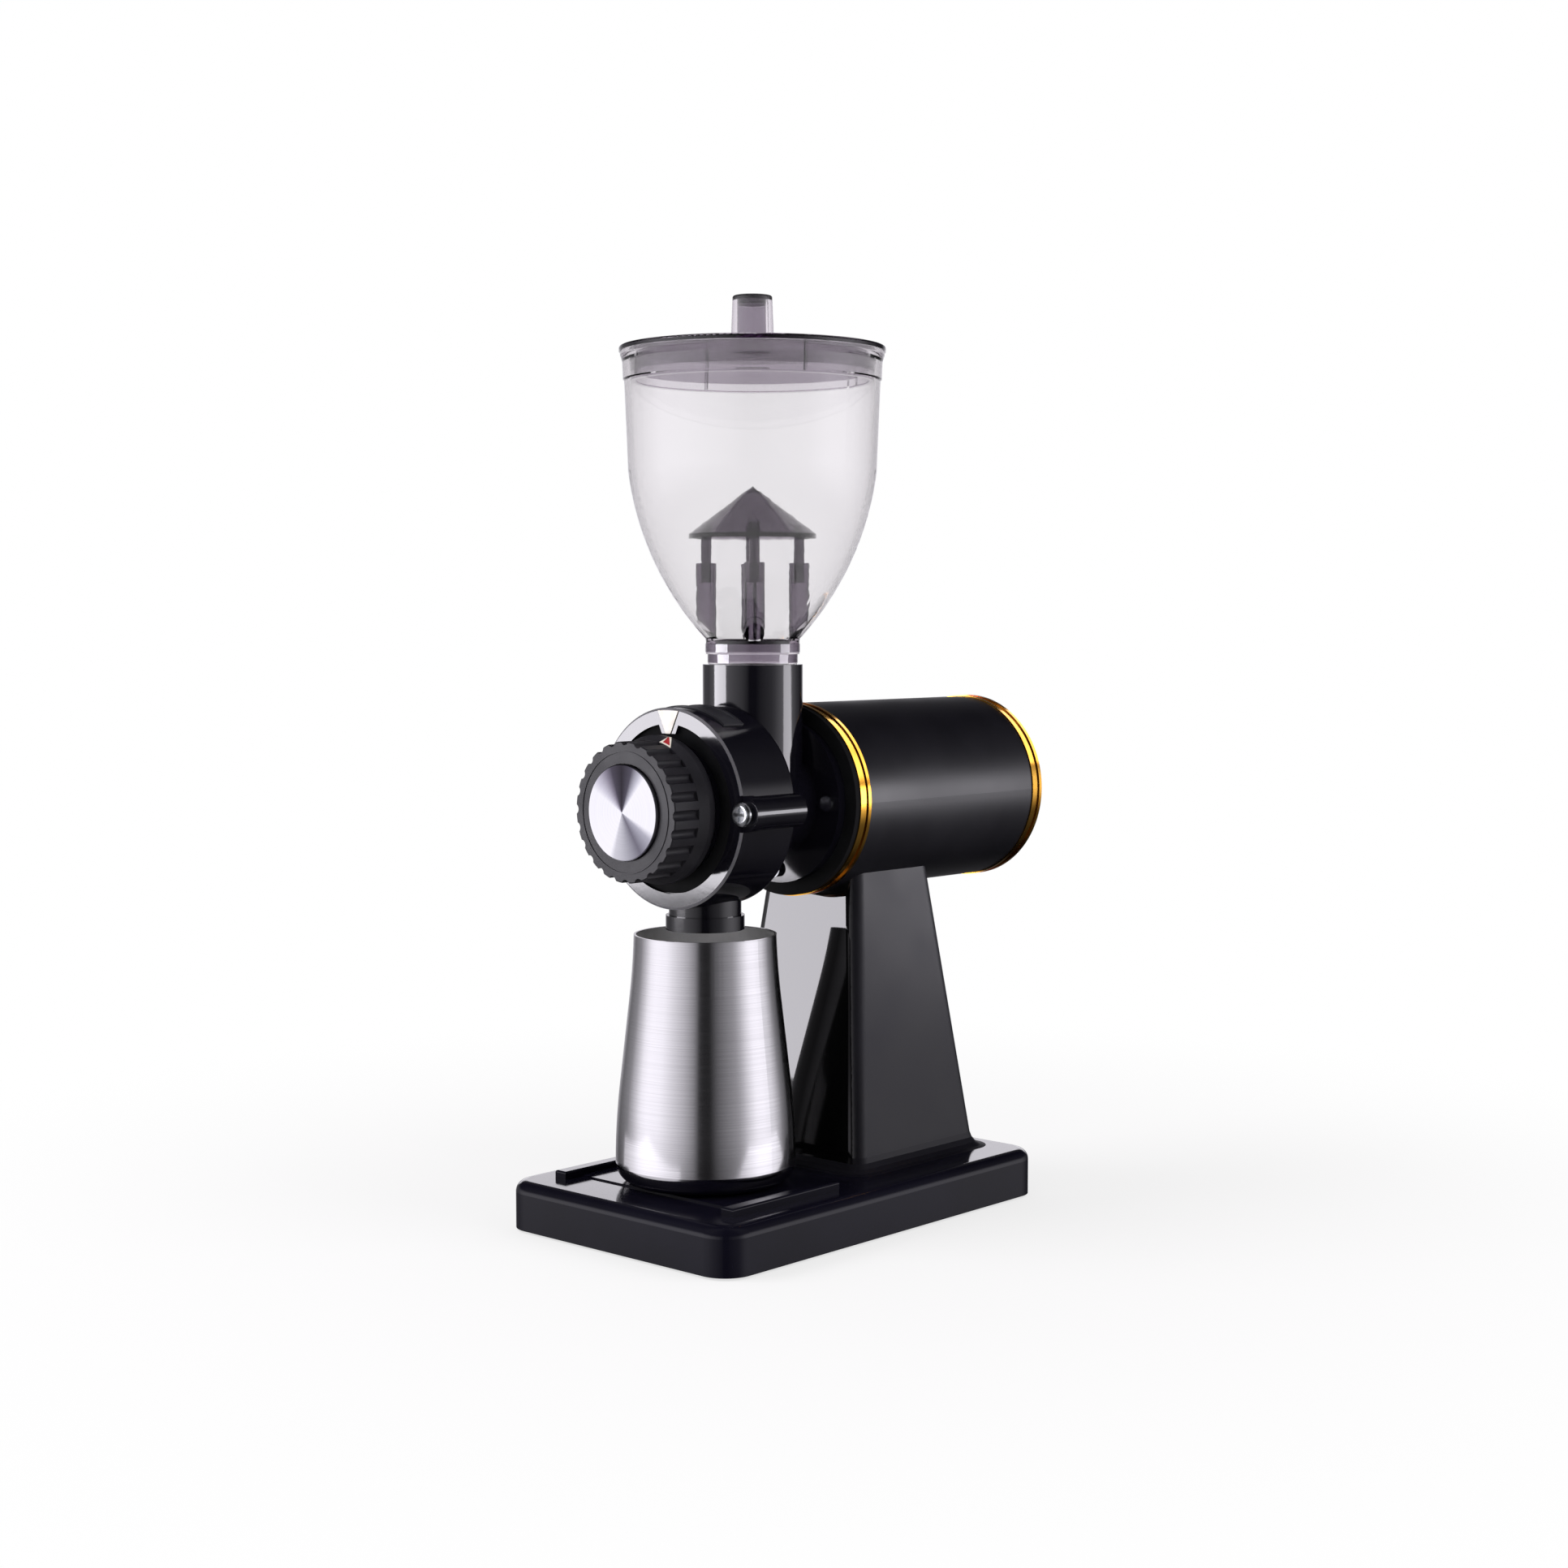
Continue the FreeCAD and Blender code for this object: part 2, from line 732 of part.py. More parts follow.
def make_column():
    body = new_body("column_shell")
    place(body, 0, 0, 0)
    sections = []
    flare_steps = 4
    for step in range(flare_steps + 1):
        bend = math.radians(90.0 * step / flare_steps)
        height = s.base_top + s.column_flare * (1 - math.cos(bend))
        sketch = new_sketch(body, f"column_plan_{step}", "XY_Plane", height)
        outline(sketch, column_outline(height, s.column_flare * (1 - math.sin(bend))))
        sections.append(sketch)
    head = new_sketch(body, "column_plan_head", "XY_Plane", s.column_head)
    outline(head, column_outline(s.column_head, as_size(0)))
    sections.append(head)
    skin = body.newObject("PartDesign::AdditiveLoft", "column_skin")
    skin.Profile = sections[0]
    skin.Sections = sections[1:]
    skin.Ruled = True
    inner = []
    for name, height in (("foot", s.base_top), ("ceiling", s.column_ceiling)):
        sketch = new_sketch(body, f"column_hollow_{name}", "XY_Plane", height)
        outline(sketch, column_outline(height, -s.column_wall))
        inner.append(sketch)
    hollow = body.newObject("PartDesign::SubtractiveLoft", "column_inside")
    hollow.Profile = inner[0]
    hollow.Sections = inner[1:]
    hollow.Ruled = True

    parts = [body]
    tools = []
    for index, (x, y) in enumerate(column_boss_places):
        parts.append(cylinder(f"column_boss_{index}", s.column_boss_radius, s.column_boss_height,
                              x, y, s.base_top))
        tools.append(cylinder(f"column_screw_hole_{index}", s.screw_radius,
                              s.column_boss_height - s.base_wall, x, y, s.base_top))
    saddle_length = s.column_foot_rear - s.column_foot_front
    tools.append(cylinder("saddle", s.tube_radius, saddle_length, 0, s.column_foot_front,
                          s.axis_height, along_y))
    for index, sign in enumerate((-1, 1)):
        y = column_middle + s.saddle_screw_spacing / 2 * sign
        tools.append(cylinder(f"saddle_hole_{index}", s.saddle_screw_radius, s.axis_height - s.column_ceiling,
                              0, y, s.column_ceiling))
    window = new_body("switch_window")
    place(window, -switch_x, switch_y, s.switch_height, switch_rotation)
    plan = new_sketch(window, "switch_window_plan", "XY_Plane", -s.column_wall * 2)
    half_x = s.switch_width / 2
    half_y = s.switch_length / 2
    outline(plan, rectangle(-half_x, half_x, -half_y, half_y))
    pad(window, plan, s.column_wall * 3, "switch_window_block")
    tools.append(window)
    piece(cut("column_cut", fused("column_solid", parts), tools), "column")

    screws = []
    for index, (x, y) in enumerate(column_boss_places):
        screws.append(upward_screw(f"column_screw_{index}", x, y, base_ceiling, s.column_boss_height))
    piece(group("column_screw_set", screws), "column_screws")

    saddle_screws = []
    for index, sign in enumerate((-1, 1)):
        y = column_middle + s.saddle_screw_spacing / 2 * sign
        length = s.axis_height - s.tube_bore - s.column_ceiling
        head = cylinder(f"saddle_screw_head_{index}", s.screw_head_radius * 1.5, s.screw_head_height * 1.5,
                        0, y, s.column_ceiling - s.screw_head_height * 1.5)
        shank = cylinder(f"saddle_screw_shank_{index}", s.saddle_screw_radius, length, 0, y, s.column_ceiling)
        saddle_screws.append(fused(f"saddle_screw_{index}", [head, shank]))
    piece(group("saddle_screw_set", saddle_screws), "saddle_screws")


def make_switch():
    frame = new_body("switch_case")
    place(frame, -switch_x, switch_y, s.switch_height, switch_rotation)
    half_x = s.switch_width / 2
    half_y = s.switch_length / 2
    case = new_sketch(frame, "switch_case_plan", "XY_Plane", -s.switch_depth)
    outline(case, rectangle(-half_x, half_x, -half_y, half_y))
    pad(frame, case, s.switch_depth, "switch_block")
    lip = new_sketch(frame, "switch_lip_plan", "XY_Plane")
    outline(lip, rectangle(-half_x - s.switch_lip, half_x + s.switch_lip, -half_y - s.switch_lip,
                           half_y + s.switch_lip))
    pad(frame, lip, s.switch_lip_depth, "switch_flange")
    well = new_sketch(frame, "switch_well_plan", "XY_Plane", s.switch_floor - s.switch_depth)
    well_x = half_x - s.switch_wall
    well_y = half_y - s.switch_wall
    outline(well, rectangle(-well_x, well_x, -well_y, well_y))
    pocket(frame, well, s.switch_depth - s.switch_floor + s.switch_lip_depth, "switch_well")
    pivots = new_sketch(frame, "switch_pivot_plan", "YZ_Plane")
    circle(pivots, 0, -s.rocker_pivot_depth, s.rocker_pin_radius + s.running_gap)
    bores = frame.newObject("PartDesign::Pocket", "switch_pivots")
    bores.Profile = pivots
    bores.Midplane = True
    bind(bores, "Length", (well_x + s.rocker_pin_grip) * 2)
    piece(frame, "switch_frame")

    rocker = new_body("switch_rocker")
    tip = FreeCAD.Rotation(FreeCAD.Vector(1, 0, 0), -driving["switch_tilt"])
    pivot = switch_rotation.multVec(FreeCAD.Vector(0, 0, -driving["rocker_pivot_depth"]))
    place(rocker, -switch_x + pivot.x, switch_y + pivot.y, s.switch_height + pivot.z,
          switch_rotation.multiply(tip))
    end = well_y - s.rocker_end_gap
    side = new_sketch(rocker, "rocker_side", "YZ_Plane")
    outline(side, [(-end, -s.rocker_under), (end, -s.rocker_under), (end, s.rocker_tip),
                   (0, s.rocker_crown), (-end, s.rocker_tip)])
    key = pad(rocker, side, (well_x - s.rocker_gap) * 2, "rocker_key")
    key.Midplane = True
    pins = new_sketch(rocker, "rocker_pin_plan", "YZ_Plane")
    circle(pins, 0, 0, s.rocker_pin_radius)
    pin = pad(rocker, pins, (well_x + s.rocker_pin_grip - s.running_gap) * 2, "rocker_pins")
    pin.Midplane = True
    piece(rocker, "rocker")


drum_front = s.cover_front + s.cover_thickness
# The casting is screwed to the motor at three, six and nine o'clock: places across and up from the axis.
body_screw_places = [
    (s.body_screw_circle, as_size(0)), (-s.body_screw_circle, as_size(0)), (as_size(0), -s.body_screw_circle),
]


def make_grinder_body():
    z = s.axis_height
    drum = on_axis(turned_body("drum", [
        (0, drum_front), (s.drum_radius, drum_front),
        (s.drum_radius, s.drum_rear - s.drum_round, s.drum_round),
        (s.drum_radius - s.drum_round, s.drum_rear), (0, s.drum_rear),
    ]))
    tunnel = cylinder("tunnel", s.tunnel_radius, s.flange_front - s.drum_rear, 0, s.drum_rear, z, along_y)
    flange = cylinder("body_flange", s.body_flange_radius, s.body_flange_depth, 0,
                      s.flange_front - s.body_flange_depth, z, along_y)
    throat = cylinder("throat", s.throat_radius, s.throat_top - z, 0, s.hopper_y, z)
    spout_root = z - s.chamber_radius - s.spout_ring_drop
    spout = cylinder("spout", s.spout_radius, spout_root - s.spout_bottom, 0, s.cup_y, s.spout_bottom)
    parts = [drum, tunnel, flange, throat, spout]
    tools = []
    for index, sign in enumerate((-1, 1)):
        x = s.ear_x * sign
        boss_length = s.drum_rear - s.boss_gap - drum_front
        parts.append(cylinder(f"ear_boss_{index}", s.boss_radius, boss_length, x, drum_front, z, along_y))
        tools.append(cylinder(f"ear_hole_{index}", s.cover_screw_radius, s.drum_rear - drum_front, x,
                              drum_front, z, along_y))
    tools.append(cylinder("chamber", s.chamber_radius, s.chamber_rear - drum_front, 0, drum_front,
                          z, along_y))
    tools.append(cylinder("feed_bore", s.tunnel_bore, s.flange_front - s.chamber_rear, 0, s.chamber_rear,
                          z, along_y))
    tools.append(cylinder("throat_way", s.throat_bore, s.throat_top - z, 0, s.hopper_y, z))
    tools.append(cylinder("spout_way", s.spout_bore, z - s.burr_radius - s.spout_bottom, 0, s.cup_y,
                          s.spout_bottom))
    tools.append(cylinder("motor_seat", s.ring_radius, s.throat_radius * 2, 0, s.flange_front, z, along_y))
    flange_face = s.flange_front - s.body_flange_depth
    for index, (x, up) in enumerate(body_screw_places):
        tools.append(cylinder(f"body_screw_hole_{index}", s.screw_radius, s.body_flange_depth, x,
                              flange_face, z + up, along_y))
    piece(cut("casting_cut", fused("casting", parts), tools), "grinder_body")

    screws = []
    for index, (x, up) in enumerate(body_screw_places):
        head = cylinder(f"body_screw_head_{index}", s.screw_head_radius, s.screw_head_height, x,
                        flange_face - s.screw_head_height, z + up, along_y)
        shank = cylinder(f"body_screw_shank_{index}", s.screw_radius, s.flange_rear - flange_face, x,
                         flange_face, z + up, along_y)
        screws.append(fused(f"body_screw_{index}", [head, shank]))
    piece(group("body_screw_set", screws), "body_screws")

    bottom = s.spout_bottom - s.spout_ring_drop
    ring = turned_body("outlet_collar", [
        (s.spout_bore, bottom), (s.spout_ring_radius, bottom),
        (s.spout_ring_radius, bottom + s.spout_ring_height),
        (s.spout_radius, bottom + s.spout_ring_height),
        (s.spout_radius, s.spout_bottom), (s.spout_bore, s.spout_bottom),
    ])
    place(ring, 0, s.cup_y, 0)
    piece(ring, "spout_ring")


def on_axis(body):
    place(body, 0, 0, s.axis_height, along_y)
    return body


def make_cover():
    floor = s.cover_front + s.cover_recess
    bore = s.spindle_radius + s.running_gap
    body = on_axis(turned_body("front_plate", [
        (bore, drum_front), (bore, s.cover_hub_front), (s.cover_hub_radius, s.cover_hub_front),
        (s.cover_hub_radius, floor), (s.cover_ring_radius, floor), (s.cover_ring_radius, s.cover_front),
        (s.drum_radius - s.cover_chamfer, s.cover_front), (s.drum_radius, s.cover_front + s.cover_chamfer),
        (s.drum_radius, drum_front),
    ]))
    ears = new_sketch(body, "ear_plan", "XY_Plane", s.cover_front + s.cover_chamfer)
    for sign in (-1, 1):
        circle(ears, s.ear_x * sign, 0, s.ear_radius)
    pad(body, ears, s.cover_thickness - s.cover_chamfer, "ears")
    holes = new_sketch(body, "ear_hole_plan", "XY_Plane", s.cover_front)
    for sign in (-1, 1):
        circle(holes, s.ear_x * sign, 0, s.cover_screw_radius)
    pocket(body, holes, s.cover_thickness, "ear_holes")
    spots = new_sketch(body, "ear_spot_plan", "XY_Plane", s.cover_front)
    for sign in (-1, 1):
        circle(spots, s.ear_x * sign, 0, s.cover_screw_head_radius + s.screw_head_gap)
    pocket(body, spots, s.cover_chamfer, "ear_spots")
    # The tongue at twelve o'clock carries the pointer over the recess.
    root = s.tongue_root_width / 2
    tip = s.tongue_tip_width / 2
    root_radius = s.cover_ring_radius + s.cover_chamfer
    tongue = new_sketch(body, "tongue_plan", "XY_Plane", s.cover_front)
    outline(tongue, [(-root, -root_radius), (root, -root_radius), (tip, -s.tongue_tip_radius),
                     (-tip, -s.tongue_tip_radius)])
    pad(body, tongue, s.cover_recess, "tongue")
    pin_holes = new_sketch(body, "pin_hole_plan", "XY_Plane", drum_front - s.pin_seat)
    for sign in (-1, 1):
        circle(pin_holes, 0, s.pin_circle * sign, s.pin_radius)
    pocket(body, pin_holes, s.pin_seat, "pin_holes")
    piece(body, "cover")

    pointer = on_axis(new_body("index"))
    plan = new_sketch(pointer, "pointer_plan", "XY_Plane", s.cover_front - s.pointer_thickness)
    root = s.pointer_root_width / 2
    tip = s.pointer_tip_width / 2
    outline(plan, [(-root, -s.pointer_root_radius), (root, -s.pointer_root_radius),
                   (tip, -s.tongue_tip_radius), (-tip, -s.tongue_tip_radius)])
    pad(pointer, plan, s.pointer_thickness, "pointer_plate")
    piece(pointer, "pointer")

    pins = on_axis(new_body("pin_pair"))
    plan = new_sketch(pins, "pin_plan", "XY_Plane", drum_front - s.pin_seat)
    for sign in (-1, 1):
        circle(plan, 0, s.pin_circle * sign, s.pin_radius)
    pad(pins, plan, s.pin_length, "pins")
    piece(pins, "guide_pins")


def make_cover_screws():
    body = on_axis(new_body("ear_screws"))
    seat = s.cover_front + s.cover_chamfer
    heads = new_sketch(body, "ear_head_plan", "XY_Plane", seat - s.cover_screw_head_height)
    shanks = new_sketch(body, "ear_shank_plan", "XY_Plane", seat)
    recess = new_sketch(body, "ear_cross_plan", "XY_Plane", seat - s.cover_screw_head_height)
    for sign in (-1, 1):
        x = s.ear_x * sign
        circle(heads, x, 0, s.cover_screw_head_radius)
        circle(shanks, x, 0, s.cover_screw_radius)
        half = s.cross_width / 2
        reach = s.cross_length / 2
        outline(recess, [
            (x - half, -reach), (x + half, -reach), (x + half, -half), (x + reach, -half),
            (x + reach, half), (x + half, half), (x + half, reach), (x - half, reach),
            (x - half, half), (x - reach, half), (x - reach, -half), (x - half, -half),
        ])
    pad(body, heads, s.cover_screw_head_height, "ear_heads")
    round_edges_at(body, seat - s.cover_screw_head_height, s.cover_screw_head_height * 0.55, "ear_head_round")
    pad(body, shanks, s.drum_rear + s.cover_screw_tip - seat, "ear_shanks")
    pocket(body, recess, s.cross_depth, "ear_cross")
    piece(body, "cover_screws")


carrier_front = drum_front + s.carrier_gap
carrier_rear = carrier_front + s.carrier_thickness
rotor_face = carrier_rear + s.burr_thickness + s.burr_gap
rotor_burr_rear = rotor_face + s.burr_thickness
rotor_carrier_rear = rotor_burr_rear + s.rotor_carrier_thickness
spindle_shoulder = carrier_front - s.clip_gap


def make_knob():
    seat = s.knob_front + s.insert_thickness - s.insert_proud
    socket = s.insert_radius + s.insert_gap
    line = s.dial_line_radius + s.dial_line_width
    raised = s.knob_front - s.dial_line_height
    cavity = s.knob_rear - s.knob_cavity_depth
    body = on_axis(turned_body("setting_knob", [
        (s.spindle_radius, seat), (socket, seat), (socket, s.knob_front),
        (s.dial_line_radius, s.knob_front), (s.dial_line_radius, raised), (line, raised),
        (line, s.knob_front), (s.knob_radius - s.knob_edge, s.knob_front),
        (s.knob_radius, s.knob_front + s.knob_edge), (s.knob_radius, s.knob_skirt_front),
        (s.knob_skirt_radius, s.knob_skirt_front + s.knob_skirt_round * 2),
        (s.knob_skirt_radius, s.knob_rear - s.knob_skirt_round, s.knob_skirt_round),
        (s.knob_skirt_radius - s.knob_skirt_round, s.knob_rear),
        (s.knob_cavity_radius, s.knob_rear), (s.knob_cavity_radius, cavity),
        (s.knob_hub_radius, cavity), (s.knob_hub_radius, s.knob_rear), (s.spindle_radius, s.knob_rear),
    ]))
    flute = new_sketch(body, "flute_plan", "XY_Plane", raised)
    circle(flute, s.flute_centre, 0, s.flute_radius)
    groove = pocket(body, flute, s.knob_skirt_front - raised, "flute")
    repeat(body, groove, flute, s.flute_count, "flutes")
    piece(body, "knob")

    front = s.knob_front - s.insert_proud
    disc = on_axis(turned_body("dial_disc", [
        (0, front), (s.insert_radius - s.insert_gap, front), (s.insert_radius, front + s.insert_gap),
        (s.insert_radius, seat), (0, seat),
    ]))
    piece(disc, "knob_insert")

    journal_end = carrier_rear + s.clip_gap + s.clip_thickness
    spindle = on_axis(turned_body("feed_screw", [
        (0, seat), (s.spindle_radius, seat), (s.spindle_radius, spindle_shoulder),
        (s.spindle_journal_radius, spindle_shoulder), (s.spindle_journal_radius, journal_end),
        (0, journal_end),
    ]))
    piece(spindle, "spindle")

    clip = on_axis(turned_body("retaining_clip", [
        (s.spindle_journal_radius, carrier_rear + s.clip_gap), (s.clip_radius, carrier_rear + s.clip_gap),
        (s.clip_radius, journal_end), (s.spindle_journal_radius, journal_end),
    ]))
    piece(clip, "spindle_clip")


# Where a cut into a burr's working face starts: at its front or, on one that faces back, short of its rear.
def face_start(front, faces_front, depth):
    return front if faces_front else front + s.burr_thickness - depth


# A burr ring with radial grooves in its working face and sunk screw holes.
def make_burr(name, label, front, faces_front):
    body = on_axis(turned_body(name, rectangle(s.burr_bore, s.burr_radius, front, front + s.burr_thickness)))
    groove = new_sketch(body, name + "_groove_plan", "XY_Plane",
                        face_start(front, faces_front, s.burr_groove_depth))
    half = s.burr_groove_width / 2
    outline(groove, rectangle(s.burr_bore - half, s.burr_radius + half, -half, half))
    slot = pocket(body, groove, s.burr_groove_depth, name + "_groove")
    repeat(body, slot, groove, s.burr_groove_count, name + "_grooves")
    sink = s.burr_screw_sink + s.screw_head_height
    holes = new_sketch(body, name + "_hole_plan", "XY_Plane", front)
    sinks = new_sketch(body, name + "_sink_plan", "XY_Plane", face_start(front, faces_front, sink))
    for x, y in burr_screw_places():
        circle(holes, x, y, s.screw_radius)
        circle(sinks, x, y, s.screw_head_radius)
    pocket(body, holes, s.burr_thickness, name + "_holes")
    pocket(body, sinks, sink, name + "_sinks")
    piece(body, label)


def burr_screw_places():
    places = []
    for step in range(3):
        angle = math.radians(120.0 * step)
        places.append((s.burr_screw_circle * math.cos(angle), s.burr_screw_circle * math.sin(angle)))
    return places


# Screws that hold a burr to its carrier: heads sunk in the burr's face, shanks through the carrier.
def make_burr_screws(name, label, front, faces_front, carrier_depth):
    body = on_axis(new_body(name))
    sink = s.burr_screw_sink + s.screw_head_height
    length = s.burr_thickness - sink + carrier_depth
    if faces_front:
        head_front = front + s.burr_screw_sink
        shank_front = front + sink
    else:
        head_front = front + s.burr_thickness - sink
        shank_front = head_front - length
    heads = new_sketch(body, name + "_head_plan", "XY_Plane", head_front)
    shanks = new_sketch(body, name + "_shank_plan", "XY_Plane", shank_front)
    for x, y in burr_screw_places():
        circle(heads, x, y, s.screw_head_radius)
        circle(shanks, x, y, s.screw_radius)
    pad(body, heads, s.screw_head_height, name + "_heads")
    pad(body, shanks, length, name + "_shanks")
    piece(body, label)


def make_fixed_burr():
    bore = s.spindle_journal_radius + s.running_gap
    carrier = on_axis(turned_body("burr_plate", rectangle(bore, s.carrier_radius, carrier_front,
                                                          carrier_rear)))
    holes = new_sketch(carrier, "burr_plate_holes", "XY_Plane", carrier_front)
    for x, y in burr_screw_places():
        circle(holes, x, y, s.screw_radius)
    for sign in (-1, 1):
        circle(holes, 0, s.pin_circle * sign, s.pin_radius + s.running_gap)
    pocket(carrier, holes, s.carrier_thickness, "burr_plate_bores")
    piece(carrier, "fixed_carrier")
    make_burr("front_burr", "fixed_burr", carrier_rear, False)
    make_burr_screws("front_burr_screws", "fixed_screws", carrier_rear, False, s.carrier_thickness)


def make_rotor_burr():
    make_burr("turning_burr", "rotor_burr", rotor_face, True)
    make_burr_screws("turning_burr_screws", "rotor_screws", rotor_face, True, s.rotor_carrier_thickness)
    hub_rear = rotor_burr_rear + s.rotor_hub_depth
    carrier = on_axis(turned_body("spider", [
        (s.shaft_radius, rotor_burr_rear), (s.carrier_radius, rotor_burr_rear),
        (s.carrier_radius, rotor_carrier_rear), (s.rotor_hub_radius, rotor_carrier_rear),
        (s.rotor_hub_radius, hub_rear), (s.shaft_radius, hub_rear),
    ]))
    # Windows between three spokes let the beans through to the burrs' eye.
    window = new_sketch(carrier, "window_plan", "XY_Plane", rotor_burr_rear)
    start = math.radians(driving["spoke_half_angle"])
    end = math.radians(120.0 - driving["spoke_half_angle"])
    inner = s.rotor_hub_radius
    outer = s.burr_bore
    outline(window, [
        (outer * math.cos(start), outer * math.sin(start), outer),
        (outer * math.cos(end), outer * math.sin(end)),
        (inner * math.cos(end), inner * math.sin(end), -inner),
        (inner * math.cos(start), inner * math.sin(start)),
    ])
    opening = pocket(carrier, window, s.rotor_carrier_thickness, "window")
    repeat(carrier, opening, window, 3, "windows")
    holes = new_sketch(carrier, "spider_holes", "XY_Plane", rotor_burr_rear)
    for x, y in burr_screw_places():
        circle(holes, x, y, s.screw_radius)
    pocket(carrier, holes, s.rotor_carrier_thickness, "spider_bores")
    vane = new_sketch(carrier, "vane_plan", "XY_Plane", rotor_burr_rear)
    half = s.vane_width / 2
    outline(vane, rectangle(s.carrier_radius - s.vane_width, s.vane_radius, -half, half))
    sweep = pad(carrier, vane, s.rotor_carrier_thickness, "vane")
    repeat(carrier, sweep, vane, 3, "vanes")
    piece(carrier, "rotor_carrier")


nut_front = rotor_burr_rear - s.nut_thickness
auger_front = rotor_burr_rear + s.rotor_hub_depth
seal_front = s.flange_front - s.seal_depth
auger_rear = seal_front - s.auger_gap
tube_front = s.flange_rear + s.ring_depth
ring_rear = s.tube_rear + s.ring_depth
front_bearing_front = s.flange_rear + s.spigot_depth - s.front_bearing_depth
brush_plate_rear = s.tube_rear - s.rear_cap_inside
brush_plate_front = brush_plate_rear - s.brush_plate_depth
rear_bearing_front = brush_plate_rear
core_rear = s.core_front + s.core_length
commutator_front = core_rear + s.coil_overhang + s.commutator_gap
commutator_rear = commutator_front + s.commutator_length


def make_shaft():
    nose = nut_front - s.shaft_nose
    shaft_end = rear_bearing_front + s.rear_bearing_depth - s.shaft_end_gap
    shaft = on_axis(turned_body("main_shaft", [
        (0, nose), (s.shaft_radius, nose), (s.shaft_radius, brush_plate_front),
        (s.shaft_rear_radius, brush_plate_front),
        (s.shaft_rear_radius, shaft_end), (0, shaft_end),
    ]))
    piece(shaft, "shaft")

    nut = on_axis(new_body("hex_nut"))
    plan = new_sketch(nut, "nut_plan", "XY_Plane", nut_front)
    corner = s.nut_across / math.sqrt(3)
    points = []
    for step in range(6):
        angle = math.radians(60.0 * step + 15.0)
        points.append((corner * math.cos(angle), corner * math.sin(angle)))
    outline(plan, points)
    circle(plan, 0, 0, s.shaft_radius)
    pad(nut, plan, s.nut_thickness, "nut_block")
    piece(nut, "shaft_nut")

    auger = on_axis(turned_body("feed_auger", rectangle(s.shaft_radius, s.auger_core, auger_front,
                                                        auger_rear)))
    flight = new_sketch(auger, "flight_plan", "XZ_Plane")
    root = s.auger_core - s.auger_flight / 2
    start = auger_front + s.auger_flight / 2
    outline(flight, rectangle(root, s.auger_radius, start, start + s.auger_flight))
    helix = auger.newObject("PartDesign::AdditiveHelix", "flight")
    helix.Profile = flight
    helix.ReferenceAxis = (flight, ["V_Axis"])
    helix.Mode = "pitch-turns-angle"
    bind(helix, "Pitch", s.auger_pitch)
    bind(helix, "Turns", s.auger_turns)
    piece(auger, "auger")

    seal_bore = s.shaft_radius + s.running_gap
    seal = on_axis(turned_body("felt_seal", rectangle(seal_bore, s.seal_radius, seal_front, s.flange_front)))
    piece(seal, "shaft_seal")


def make_bearings():
    front = on_axis(turned_body("bearing_front", rectangle(
        s.shaft_radius + s.running_gap, s.front_bearing_radius, front_bearing_front,
        front_bearing_front + s.front_bearing_depth)))
    piece(front, "front_bearing")
    rear = on_axis(turned_body("bearing_rear", rectangle(
        s.shaft_rear_radius + s.running_gap, s.rear_bearing_radius, rear_bearing_front,
        rear_bearing_front + s.rear_bearing_depth)))
    piece(rear, "rear_bearing")


def ring_profile(front, rear):
    return [
        (s.tube_bore, front), (s.ring_radius, front), (s.ring_radius, front + s.ring_bead),
        (s.ring_valley_radius, front + s.ring_bead), (s.ring_valley_radius, rear - s.ring_bead),
        (s.ring_radius, rear - s.ring_bead), (s.ring_radius, rear), (s.tube_bore, rear),
    ]


def make_motor_case():
    spigot_rear = s.flange_rear + s.spigot_depth
    shaft_way = s.shaft_radius * 1.5
    flange = on_axis(turned_body("end_bell", [
        (shaft_way, s.flange_front), (s.tube_radius, s.flange_front), (s.tube_radius, s.flange_rear),
        (s.tube_bore, s.flange_rear), (s.tube_bore, spigot_rear),
        (s.front_bearing_radius, spigot_rear), (s.front_bearing_radius, front_bearing_front),
        (shaft_way, front_bearing_front),
    ]))
    holes = new_sketch(flange, "bell_holes", "XY_Plane", s.flange_front)
    for x, up in body_screw_places:
        circle(holes, x, -up, s.screw_radius)
    pocket(flange, holes, s.flange_rear - s.flange_front, "bell_screw_holes")
    piece(flange, "motor_flange")

    front = on_axis(turned_body("ring_front", ring_profile(s.flange_rear, tube_front)))
    piece(front, "front_ring")
    rear = on_axis(turned_body("ring_rear", ring_profile(s.tube_rear, ring_rear)))
    piece(rear, "rear_ring")

    tube = on_axis(turned_body("case_tube", rectangle(s.tube_bore, s.tube_radius, tube_front, s.tube_rear)))
    tools = []
    for index, sign in enumerate((-1, 1)):
        y = column_middle + s.saddle_screw_spacing / 2 * sign
        tools.append(cylinder(f"tube_hole_{index}", s.saddle_screw_radius, s.axis_height - s.column_ceiling,
                              0, y, s.column_ceiling))
    piece(cut("case_tube_drilled", tube, tools), "motor_tube")


